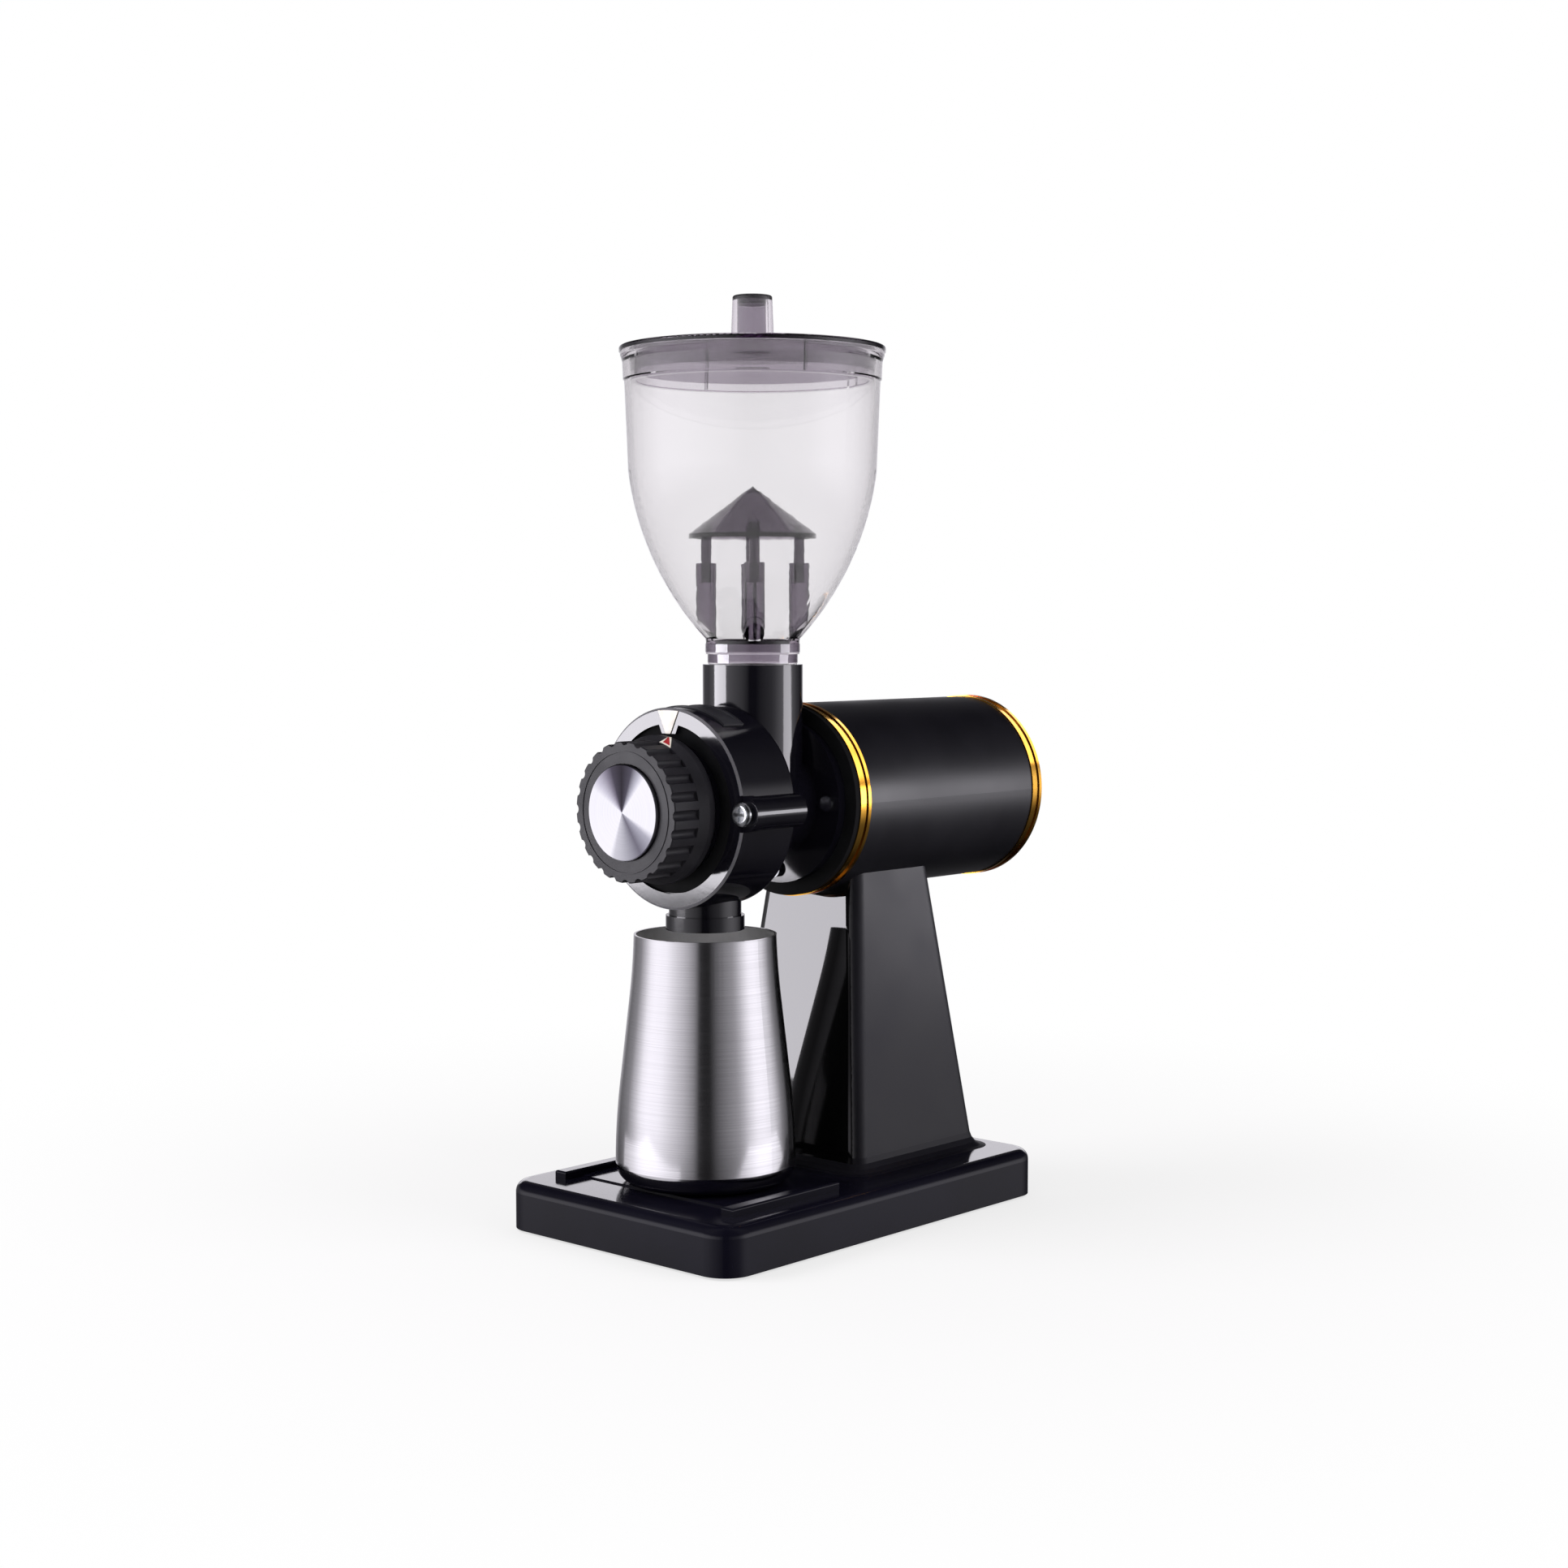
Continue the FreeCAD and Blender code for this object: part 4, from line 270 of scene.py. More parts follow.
# Surface finishes. colours is the pair that the surface drifts between, patch the size of that drift,
# grain the size of the fine relief and relief its height (mm), stretch how far the grain runs along
# each axis. A grain that is finer on the real surface is drawn at about half a millimetre, so that it shows
finishes = {
    # Black enamel sprayed and baked on a casting: mirror-like, with a faint orange peel
    "castingEnamel": {"colours": ("#0b0a10", "#100f16"), "patch": 30, "rough": (0.07, 0.11),
                      "grain": 2.2, "relief": 0.004, "ior": 1.5},
    # Black enamel flowed thick on the base casting: deep gloss with a blue cast
    "flowedEnamel": {"colours": ("#0c0b14", "#11101b"), "patch": 40, "rough": (0.08, 0.14),
                     "grain": 3.0, "relief": 0.003, "ior": 1.36},
    # Black lacquer rubbed to a satin on the motor's steel tube: one broad soft highlight
    "satinLacquer": {"colours": ("#100f16", "#15141b"), "patch": 25, "rough": (0.34, 0.40),
                     "grain": 0.5, "relief": 0.006, "ior": 1.5},
    # Black ABS from a spark-eroded mould: dull grey bloom over a sandy grain
    "sparkedAbs": {"colours": ("#1c1b20", "#232227"), "patch": 12, "rough": (0.42, 0.52),
                   "grain": 0.55, "relief": 0.05, "ior": 1.53},
    # Matt black lacquer brushed on the motor's flange: hardly any light comes back. The same matt black,
    # laid in the cover's recess, is painted shade there
    "brushedMatt": {"colours": ("#0c0c0e", "#111114"), "patch": 6, "rough": (0.7, 0.8),
                    "grain": 0.6, "relief": 0.01, "ior": 1.4},
    # Pale metal laid on the cover's edge: a painted highlight, a pale line with a soft sheen
    "paintedEdgeHighlight": {"colours": ("#d2d1d4", "#c2c1c5"), "patch": 5, "rough": (0.5, 0.6),
                   "grain": 0.5, "relief": 0.004, "metallic": 1.0},
    # Black nylon, moulded: even and slightly waxy
    "mouldedNylon": {"colours": ("#151517", "#1c1c1f"), "patch": 10, "rough": (0.38, 0.48),
                     "grain": 0.8, "relief": 0.01, "ior": 1.53},
    # Polished brass under clear lacquer: rich yellow with amber in the hollows
    "lacqueredBrass": {"colours": ("#d9a441", "#c98f2c"), "patch": 9, "rough": (0.12, 0.18),
                       "grain": 0.6, "relief": 0.002, "metallic": 1.0, "stretch": (1, 30, 1)},
    # Bright zinc plate on screws: cool white metal with a light haze
    "zincPlate": {"colours": ("#d6d8da", "#c4c7ca"), "patch": 3, "rough": (0.16, 0.26),
                  "grain": 0.5, "relief": 0.002, "metallic": 1.0},
    # Stainless steel, bead-blasted inside the cup: its light scatters to a soft grey, so it is nearly matt
    "blastedStainless": {"colours": ("#dddcdc", "#cccbcb"), "patch": 9, "rough": (0.36, 0.46),
                         "grain": 0.5, "relief": 0.004, "metallic": 0.1},
    # Hardened burr steel, ground: grey with fine grinding lines
    "groundSteel": {"colours": ("#8d8f92", "#7c7e81"), "patch": 6, "rough": (0.25, 0.36),
                    "grain": 0.5, "relief": 0.004, "metallic": 1.0, "stretch": (1, 1, 12)},
    # Cast iron, turned: darker grey with open grain
    "turnedIron": {"colours": ("#6e6f70", "#595a5b"), "patch": 8, "rough": (0.36, 0.5),
                   "grain": 0.8, "relief": 0.015, "metallic": 1.0},
    # Drawn shaft steel, centreless-ground: bright with rings
    "drawnSteel": {"colours": ("#b3b5b8", "#a2a4a7"), "patch": 8, "rough": (0.18, 0.28),
                   "grain": 0.5, "relief": 0.002, "metallic": 1.0, "stretch": (1, 20, 1)},
    # Zinc-passivated sheet: pale grey with a spangle
    "zincSheet": {"colours": ("#b9bcbe", "#9fa3a6"), "patch": 6, "rough": (0.3, 0.42),
                  "grain": 1.2, "relief": 0.004, "metallic": 1.0},
    # Enamelled copper wire, wound: red-brown gloss
    "enamelledCopper": {"colours": ("#a8552b", "#8c4322"), "patch": 3, "rough": (0.22, 0.34),
                        "grain": 0.6, "relief": 0.06, "metallic": 1.0, "stretch": (1, 14, 1)},
    # Silicon steel stampings, stacked: dark grey with fine laminations
    "stackedSteel": {"colours": ("#5f6164", "#484a4d"), "patch": 3, "rough": (0.34, 0.48),
                     "grain": 0.5, "relief": 0.02, "metallic": 1.0, "stretch": (14, 1, 14)},
    # Sintered ferrite: charcoal, matt and slightly speckled
    "sinteredFerrite": {"colours": ("#2b2b2d", "#363638"), "patch": 1.5, "rough": (0.6, 0.75),
                        "grain": 0.6, "relief": 0.02, "ior": 1.5},
    # Pressed carbon: soft black with a graphite sheen
    "pressedCarbon": {"colours": ("#1b1b1d", "#29292b"), "patch": 1.0, "rough": (0.4, 0.6),
                      "grain": 0.5, "relief": 0.02, "ior": 1.5},
    # Moulded phenolic: warm brown-black
    "mouldedPhenolic": {"colours": ("#2a2320", "#352c27"), "patch": 4, "rough": (0.35, 0.5),
                        "grain": 0.7, "relief": 0.012, "ior": 1.6},
    # Pressed wool felt: pale grey and fibrous
    "pressedFelt": {"colours": ("#8f8a82", "#a39d94"), "patch": 1.2, "rough": (0.85, 0.95),
                    "grain": 0.6, "relief": 0.12, "ior": 1.5},
    # Nitrile rubber, moulded: soft grey-black
    "mouldedRubber": {"colours": ("#161617", "#1e1e1f"), "patch": 5, "rough": (0.6, 0.75),
                      "grain": 0.7, "relief": 0.02, "ior": 1.52},
    # Solder-masked board: green with weave showing through
    "solderMask": {"colours": ("#1d4a2e", "#245a38"), "patch": 2, "rough": (0.28, 0.4),
                   "grain": 0.6, "relief": 0.015, "ior": 1.5},
    # Cream enamel, screened on a small plate: warm white with a soft edge
    "creamEnamel": {"colours": ("#f0e9dc", "#e6ddcd"), "patch": 4, "rough": (0.3, 0.4),
                    "grain": 0.7, "relief": 0.006, "ior": 1.5},
    # Red enamel of the setting mark
    "redEnamel": {"colours": ("#b3242b", "#98191f"), "patch": 2, "rough": (0.28, 0.4),
                  "grain": 0.6, "relief": 0.006, "ior": 1.5},
    # Matt black foil plate: greyer than the enamel beneath
    "foilPlate": {"colours": ("#26262a", "#303034"), "patch": 4, "rough": (0.4, 0.52),
                  "grain": 0.6, "relief": 0.01, "ior": 1.5},
}
noiseSpan = {"From Min": 0.3, "From Max": 0.7}  # where nearly all of a noise's values lie
driftEnds = (0.35, 0.65)  # values at which a drifting surface reaches its two colours


def pairStops(colours, ends):
    return [(place, hexColour(colour)) for place, colour in zip(ends, colours)]


def makeFinish(name):
    look = finishes[name]
    material = bpy.data.materials.new(name)
    material.use_nodes = True
    tree = material.node_tree
    skin = tree.nodes["Principled BSDF"]
    coords = addNode(tree, "ShaderNodeTexCoord")
    stretch = look.get("stretch", (1, 1, 1))
    along = addNode(tree, "ShaderNodeMapping", {"Scale": [1 / (s * look["grain"] * mm) for s in stretch]},
                    {"Vector": coords.outputs["Object"]})
    drift = addNode(tree, "ShaderNodeTexNoise", {"Scale": 1 / (look["patch"] * mm), "Detail": 4.0},
                    {"Vector": coords.outputs["Object"]})
    grain = addNode(tree, "ShaderNodeTexNoise", {"Scale": 1.0, "Detail": 2.0},
                    {"Vector": along.outputs["Vector"]})
    colour = addNode(tree, "ShaderNodeValToRGB", {"stops": pairStops(look["colours"], driftEnds)},
                     {"Fac": drift.outputs["Fac"]})
    low, high = look["rough"]
    rough = addNode(tree, "ShaderNodeMapRange", {**noiseSpan, "To Min": low, "To Max": high},
                    {"Value": drift.outputs["Fac"]})
    bump = addNode(tree, "ShaderNodeBump", {"Strength": 1.0, "Distance": look["relief"] * mm},
                   {"Height": grain.outputs["Fac"]})
    skin.inputs["Metallic"].default_value = look.get("metallic", 0.0)
    if "ior" in look:
        skin.inputs["IOR"].default_value = look["ior"]
    tree.links.new(colour.outputs["Color"], skin.inputs["Base Color"])
    tree.links.new(rough.outputs["Result"], skin.inputs["Roughness"])
    tree.links.new(bump.outputs["Normal"], skin.inputs["Normal"])
    return material


# Tinted SAN plastic, moulded clear: bright where it is one wall thick, darker along edges and joints.
# absorb says how fast red, green and blue fade in it, per metre
smokes = {
    "smokyHopper": {"absorb": (38, 44, 37), "rough": 0.025},
    "smokyLid": {"absorb": (60, 74, 56), "rough": 0.03},
    "smokyGuard": {"absorb": (725, 790, 700), "rough": 0.06},
    "smokySleeve": {"absorb": (3700, 4120, 3540), "rough": 0.05},
}
# What all four share: flow and ripple (mm) are the waves that moulding leaves, haze how far the roughness
# drifts over them, shadow what one wall lets through
moulding = {"ior": 1.57, "flow": 18, "ripple": 0.012, "haze": (0.6, 1.4), "shadow": "#f7f6f7"}


def makeSmoke(name):
    look = smokes[name]
    density = 2.0 * max(look["absorb"])  # any density above the largest would do
    material = bpy.data.materials.new(name)
    material.use_nodes = True
    tree = material.node_tree
    skin = tree.nodes["Principled BSDF"]
    output = tree.nodes["Material Output"]
    skin.inputs["Base Color"].default_value = hexColour("#ffffff")
    skin.inputs["Transmission Weight"].default_value = 1.0
    skin.inputs["IOR"].default_value = moulding["ior"]
    coords = addNode(tree, "ShaderNodeTexCoord")
    flow = addNode(tree, "ShaderNodeTexNoise", {"Scale": 1 / (moulding["flow"] * mm), "Detail": 3.0},
                   {"Vector": coords.outputs["Object"]})
    low, high = [look["rough"] * share for share in moulding["haze"]]
    rough = addNode(tree, "ShaderNodeMapRange", {**noiseSpan, "To Min": low, "To Max": high},
                    {"Value": flow.outputs["Fac"]})
    ripple = addNode(tree, "ShaderNodeBump", {"Strength": 1.0, "Distance": moulding["ripple"] * mm},
                     {"Height": flow.outputs["Fac"]})
    tree.links.new(rough.outputs["Result"], skin.inputs["Roughness"])
    tree.links.new(ripple.outputs["Normal"], skin.inputs["Normal"])
    path = addNode(tree, "ShaderNodeLightPath")
    clear = addNode(tree, "ShaderNodeBsdfTransparent", {"Color": hexColour(moulding["shadow"])})
    surface = addNode(tree, "ShaderNodeMixShader", {},
                      {0: path.outputs["Is Shadow Ray"], 1: skin.outputs[0], 2: clear.outputs[0]})
    inside = addNode(tree, "ShaderNodeVolumeAbsorption",
                     {"Color": (*[1 - a / density for a in look["absorb"]], 1), "Density": density})
    tree.links.new(surface.outputs[0], output.inputs["Surface"])
    tree.links.new(inside.outputs[0], output.inputs["Volume"])
    return material


# Brushed metals. line is the spacing of the brush marks and run their length (mm), drawn coarser than
# the real ones, so that they show
brushedMetals = {
    # Stainless steel, brushed round its axis: reflections stay sharp across and smear along the height
    "brushedStainless": {"colours": ("#c9c8ca", "#bdbcbe"), "rough": (0.10, 0.16), "anisotropic": 0.65,
                         "axis": "Z", "line": 0.45, "run": 83.3, "relief": 0.0006},
    # Aluminium, spun on a lathe. Its bright and dark sectors are painted reflections, drawn in degrees round
    # the disc from its top
    "spunAluminium": {"colours": ("#f2f2f4", "#e4e4e8"), "rough": (0.34, 0.42), "anisotropic": 0.5,
                      "axis": "Y", "line": 0.35, "relief": 0.003, "fanReflections": [
                          (-180, "#c4c4c8"), (-166, "#d6d6d9"), (-158, "#ffffff"), (-62, "#ffffff"),
                          (-50, "#d9d7df"), (-30, "#8d8894"), (-19, "#514d57"), (0, "#37343a"),
                          (18, "#57545e"), (33, "#c9c9d0"), (42, "#ffffff"), (112, "#ffffff"),
                          (122, "#b8b8c0"), (146, "#77757f"), (164, "#a5a5ab"), (180, "#c4c4c8")]},
}
streakEnds = (0.3, 0.7)  # values at which the brush marks reach their two colours


def makeBrushed(name):
    look = brushedMetals[name]
    material = bpy.data.materials.new(name)
    material.use_nodes = True
    tree = material.node_tree
    skin = tree.nodes["Principled BSDF"]
    coords = addNode(tree, "ShaderNodeTexCoord")
    across = 1 / (look["line"] * mm)
    if look["axis"] == "Z":
        along = 1 / (look["run"] * mm)
        lines = addNode(tree, "ShaderNodeMapping", {"Scale": (along, along, across)},
                        {"Vector": coords.outputs["Object"]})
        place = lines.outputs["Vector"]
    else:
        flat = addNode(tree, "ShaderNodeVectorMath",
                       {"operation": "MULTIPLY_ADD", 1: (1, 0, 1), 2: (0, 0, -axisHeight)},
                       {0: coords.outputs["Object"]})
        radius = addNode(tree, "ShaderNodeVectorMath", {"operation": "LENGTH"},
                         {0: flat.outputs["Vector"]})
        rings = addNode(tree, "ShaderNodeMath", {"operation": "MULTIPLY", 1: across},
                        {0: radius.outputs["Value"]})
        place = addNode(tree, "ShaderNodeCombineXYZ", {}, {"X": rings.outputs[0]}).outputs["Vector"]
    streak = addNode(tree, "ShaderNodeTexNoise", {"Scale": 1.0, "Detail": 3.0}, {"Vector": place})
    colour = addNode(tree, "ShaderNodeValToRGB", {"stops": pairStops(look["colours"], streakEnds)},
                     {"Fac": streak.outputs["Fac"]})
    # painted reflections: bright and dark sectors round the disc, multiplied into the metal's colour
    if "fanReflections" in look:
        sides = addNode(tree, "ShaderNodeSeparateXYZ", {}, {"Vector": flat.outputs["Vector"]})
        turn = addNode(tree, "ShaderNodeMath", {"operation": "ARCTAN2"},
                       {0: sides.outputs["X"], 1: sides.outputs["Z"]})
        share = addNode(tree, "ShaderNodeMapRange", {"From Min": -math.pi, "From Max": math.pi},
                        {"Value": turn.outputs[0]})
        fanReflections = addNode(tree, "ShaderNodeValToRGB",
                       {"stops": [((degrees + 180) / 360, hexColour(c)) for degrees, c in look["fanReflections"]]},
                       {"Fac": share.outputs["Result"]})
        colour = addNode(tree, "ShaderNodeVectorMath", {"operation": "MULTIPLY"},
                         {0: colour.outputs["Color"], 1: fanReflections.outputs["Color"]})
    low, high = look["rough"]
    rough = addNode(tree, "ShaderNodeMapRange", {**noiseSpan, "To Min": low, "To Max": high},
                    {"Value": streak.outputs["Fac"]})
    bump = addNode(tree, "ShaderNodeBump", {"Strength": 1.0, "Distance": look["relief"] * mm},
                   {"Height": streak.outputs["Fac"]})
    tangent = addNode(tree, "ShaderNodeTangent", {"direction_type": "RADIAL", "axis": look["axis"]})
    skin.inputs["Metallic"].default_value = 1.0
    skin.inputs["Anisotropic"].default_value = look["anisotropic"]
    tree.links.new(colour.outputs[0], skin.inputs["Base Color"])
    tree.links.new(rough.outputs["Result"], skin.inputs["Roughness"])
    tree.links.new(bump.outputs["Normal"], skin.inputs["Normal"])
    tree.links.new(tangent.outputs["Tangent"], skin.inputs["Tangent"])
    return material


# Paint on the column: its front is buffed to a dark mirror, its sides keep the sprayed satin.
# front is how squarely a face looks forward where the mirror ends, and where the satin is whole
columnPaint = {"colours": ("#131219", "#191820"), "mirrorColour": "#09090a", "front": (-0.93, -0.80),
               "satin": (0.39, 0.45), "mirror": 0.03, "patch": 28, "grain": 0.6, "relief": 0.006, "ior": 1.42}


# On a Mix node, sockets 6 and 7 are its two colours, 2 and 3 its two plain values
def makeColumnPaint():
    material = bpy.data.materials.new("buffedPaint")
    material.use_nodes = True
    tree = material.node_tree
    skin = tree.nodes["Principled BSDF"]
    coords = addNode(tree, "ShaderNodeTexCoord")
    facing = addNode(tree, "ShaderNodeSeparateXYZ", {}, {"Vector": coords.outputs["Normal"]})
    start, end = columnPaint["front"]
    front = addNode(tree, "ShaderNodeMapRange", {"From Min": start, "From Max": end},
                    {"Value": facing.outputs["Y"]})
    drift = addNode(tree, "ShaderNodeTexNoise", {"Scale": 1 / (columnPaint["patch"] * mm), "Detail": 3.0},
                    {"Vector": coords.outputs["Object"]})
    spray = addNode(tree, "ShaderNodeTexNoise", {"Scale": 1 / (columnPaint["grain"] * mm), "Detail": 2.0},
                    {"Vector": coords.outputs["Object"]})
    colour = addNode(tree, "ShaderNodeValToRGB", {"stops": pairStops(columnPaint["colours"], driftEnds)},
                     {"Fac": drift.outputs["Fac"]})
    dark = addNode(tree, "ShaderNodeMix", {"data_type": "RGBA", 6: hexColour(columnPaint["mirrorColour"])},
                   {0: front.outputs["Result"], 7: colour.outputs["Color"]})
    low, high = columnPaint["satin"]
    haze = addNode(tree, "ShaderNodeMapRange", {**noiseSpan, "To Min": low, "To Max": high},
                   {"Value": drift.outputs["Fac"]})
    rough = addNode(tree, "ShaderNodeMix", {"data_type": "FLOAT", 2: columnPaint["mirror"]},
                    {0: front.outputs["Result"], 3: haze.outputs["Result"]})
    height = addNode(tree, "ShaderNodeMath", {"operation": "MULTIPLY"},
                     {0: front.outputs["Result"], 1: spray.outputs["Fac"]})
    bump = addNode(tree, "ShaderNodeBump", {"Strength": 1.0, "Distance": columnPaint["relief"] * mm},
                   {"Height": height.outputs[0]})
    skin.inputs["IOR"].default_value = columnPaint["ior"]
    tree.links.new(dark.outputs[2], skin.inputs["Base Color"])
    tree.links.new(rough.outputs[0], skin.inputs["Roughness"])
    tree.links.new(bump.outputs["Normal"], skin.inputs["Normal"])
    return material


made = {name: makeFinish(name) for name in finishes}
made.update({name: makeSmoke(name) for name in smokes})
made.update({name: makeBrushed(name) for name in brushedMetals})
made["buffedPaint"] = makeColumnPaint()
print("finishes made:", len(made))

# Which finish each solid wears
wears = {
    "castingEnamel": "grinder_body cover spout_ring",
    "brushedMatt": "motor_flange",
    "flowedEnamel": "base",
    "buffedPaint": "column",
    "satinLacquer": "motor_tube rear_cap",
    "sparkedAbs": "knob",
    "mouldedNylon": "switch_frame rocker fan",
    "lacqueredBrass": "front_ring rear_ring brush_holders",
    "zincPlate": "cover_screws base_screws column_screws saddle_screws body_screws rear_screws "
                 "fixed_screws rotor_screws",
    "groundSteel": "fixed_burr rotor_burr",
    "turnedIron": "fixed_carrier rotor_carrier auger",
    "drawnSteel": "shaft shaft_nut spindle spindle_clip guide_pins front_bearing rear_bearing",
    "zincSheet": "base_plate",
    "enamelledCopper": "windings commutator",
    "stackedSteel": "armature_core",
    "sinteredFerrite": "magnets",
    "pressedCarbon": "brushes",
    "mouldedPhenolic": "brush_plate",
    "pressedFelt": "shaft_seal",
    "mouldedRubber": "feet cord_gland",
    "solderMask": "power_board",
    "creamEnamel": "pointer",
    "spunAluminium": "knob_insert",
    "brushedStainless": "cup",
    "smokyHopper": "hopper",
    "smokyLid": "lid",
    "smokyGuard": "bean_guard",
}
for finish, solids in wears.items():
    for solid in solids.split():
        frame["nodes"][solid].data.materials.clear()
        frame["nodes"][solid].data.materials.append(made[finish])
print("solids dressed")


def addPiece(name, shape, finish, body):
    mesh = bpy.data.meshes.new(name)
    bmesh.ops.recalc_face_normals(shape, faces=shape.faces)
    shape.to_mesh(mesh)
    shape.free()
    mesh.materials.append(made[finish])
    piece = bpy.data.objects.new(name, mesh)
    bpy.context.scene.collection.objects.link(piece)
    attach(piece, body)


# A point at a bearing round the motor's axis, counted from the top towards the camera's side
def aroundAxis(turn, radius, y):
    return Vector((radius * math.sin(turn) * mm, y * mm, axisHeight + radius * math.cos(turn) * mm))


# Bare plate with a raised rim, bent over the top of the burr chamber. reach is in degrees each side of
# the top; rimSteps and evenFrom are counted in widths of the rim from the plate's end
plate = {"front": -73.4, "rear": -62.4, "reach": 34, "seat": 39.7, "rim": 40.5, "field": 40.15,
         "rimWidth": 1.3, "rimSlope": 0.3, "rimSteps": (0, 1, 1.25), "evenFrom": 2, "steps": 28}


def makePlate():
    shape = bmesh.new()
    inset = plate["rimWidth"] + plate["rimSlope"]
    across = [plate["front"], plate["front"] + plate["rimWidth"], plate["front"] + inset,
              plate["rear"] - inset, plate["rear"] - plate["rimWidth"], plate["rear"]]
    rimTurn = math.degrees(plate["rimWidth"] / plate["rim"])
    even = plate["reach"] - plate["evenFrom"] * rimTurn
    ends = [width * rimTurn - plate["reach"] for width in plate["rimSteps"]]
    turns = ends + [even * (2 * i / plate["steps"] - 1) for i in range(plate["steps"] + 1)]
    turns += [-turn for turn in reversed(ends)]
    last, side = len(turns) - 1, len(across) - 1
    outer, inner = [], []
    for i, turn in enumerate(turns):
        row = []
        for j, y in enumerate(across):
            onRim = i in (0, 1, last - 1, last) or j in (0, 1, side - 1, side)
            radius = plate["rim"] if onRim else plate["field"]
            row.append(shape.verts.new(aroundAxis(math.radians(turn), radius, y)))
        outer.append(row)
        inner.append([shape.verts.new(aroundAxis(math.radians(turn), plate["seat"], y)) for y in across])
    for i in range(last):
        for j in range(side):
            shape.faces.new((outer[i][j], outer[i][j + 1], outer[i + 1][j + 1], outer[i + 1][j]))
            shape.faces.new((inner[i][j], inner[i + 1][j], inner[i + 1][j + 1], inner[i][j + 1]))
        for j in (0, side):
            shape.faces.new((outer[i][j], outer[i + 1][j], inner[i + 1][j], inner[i][j]))
    for i in (0, last):
        for j in range(side):
            shape.faces.new((outer[i][j], outer[i][j + 1], inner[i][j + 1], inner[i][j]))
    addPiece("bare_plate", shape, "foilPlate", "housing")


makePlate()
print("plate made")


# A closed outline of radius and place along the axis, swept round it
def addTurned(shape, outline, around, start=0, sweep=360, steps=96):
    full = sweep == 360
    turns = [math.radians(start + sweep * i / steps) for i in range(steps if full else steps + 1)]
    rings = [[shape.verts.new(around(turn, *point)) for point in outline] for turn in turns]
    for near, far in zip(rings, rings[1:] + rings[:1] if full else rings[1:]):
        for i in range(len(outline)):
            k = (i + 1) % len(outline)
            shape.faces.new((near[i], near[k], far[k], far[i]))
    if not full:
        shape.faces.new(rings[0])
        shape.faces.new(rings[-1])


# Cover: a matt black sheet on the floor of the recess behind the knob, painted shade in the recess, and a
# pale ring on the edge between its two ears, a painted highlight.
# Both outlines are pairs of radius and place along the motor's axis
coverTrim = {"shade": [(26.6, -79.2), (26.6, -79.55), (33.3, -79.55), (33.3, -79.2)],
             "edge": [(38.85, -81.30), (38.93, -81.42), (39.82, -80.53), (39.66, -80.47)],
             "ears": (90, 270), "earTurn": 10.4, "steps": 80}  # degrees, and degrees each side of an ear


def makeCoverTrim():
    shape = bmesh.new()
    # a matt black sheet on the recess floor: painted shade in the recess
    addTurned(shape, coverTrim["shade"], aroundAxis)
    addPiece("recess_shade", shape, "brushedMatt", "housing")
    # a pale ring on the cover's edge between its ears: a painted highlight
    shape = bmesh.new()
    sweep = 180 - 2 * coverTrim["earTurn"]
    for ear in coverTrim["ears"]:
        addTurned(shape, coverTrim["edge"], aroundAxis, ear + coverTrim["earTurn"], sweep, coverTrim["steps"])
    addPiece("cover_edge", shape, "paintedEdgeHighlight", "housing")


makeCoverTrim()
print("cover trim made")


# Ways out from an upright axis, evenly spread from a first bearing
def waysOut(count, first=0):
    turns = [math.radians(first + 360 * i / count) for i in range(count)]
    return [Vector((math.cos(turn), math.sin(turn), 0)) for turn in turns]


# Smoked sleeves round the four guard sockets, closed by a foot that follows the bowl. bowl holds radii and
# heights of the hopper's inside, and clear is the gap above it
sleeves = {"count": 4, "first": 45, "circle": 18.8, "inside": 3.84, "outside": 4.06, "top": 268.4,
           "bowl": [(0, 236.9), (14.6, 236.9), (16.9, 240.0), (20.5, 244.0), (23.7, 248.0)],
           "clear": 0.3, "floor": 0.25, "sides": 48}


def bowlHeight(radius):
    for (r0, z0), (r1, z1) in zip(sleeves["bowl"], sleeves["bowl"][1:]):
        if radius <= r1:
            return z0 + (z1 - z0) * (radius - r0) / (r1 - r0) + sleeves["clear"]
    return sleeves["bowl"][-1][1] + sleeves["clear"]


def makeSleeves():
    shape = bmesh.new()
    axis = Vector((*hopperAxis, 0))
    for out in waysOut(sleeves["count"], sleeves["first"]):
        centre = axis + sleeves["circle"] * out
        rows = []
        for way in waysOut(sleeves["sides"]):
            near, far = centre + way * sleeves["inside"], centre + way * sleeves["outside"]
            heights = [(far, bowlHeight((far - axis).length)), (far, sleeves["top"]),
                       (near, sleeves["top"]), (near, bowlHeight((near - axis).length) + sleeves["floor"])]
            rows.append([shape.verts.new((place + Vector((0, 0, z))) * mm) for place, z in heights])
        foot = centre + Vector((0, 0, bowlHeight(sleeves["circle"])))
        hubs = [shape.verts.new(p * mm) for p in (foot, foot + Vector((0, 0, sleeves["floor"])))]
        for a, b in zip(rows, rows[1:] + rows[:1]):
            for i in range(3):
                shape.faces.new((a[i], b[i], b[i + 1], a[i + 1]))
            shape.faces.new((a[0], b[0], hubs[0]))
            shape.faces.new((a[3], b[3], hubs[1]))
    addPiece("socket_sleeves", shape, "smokySleeve", "hopper")


makeSleeves()
print("sleeves made")
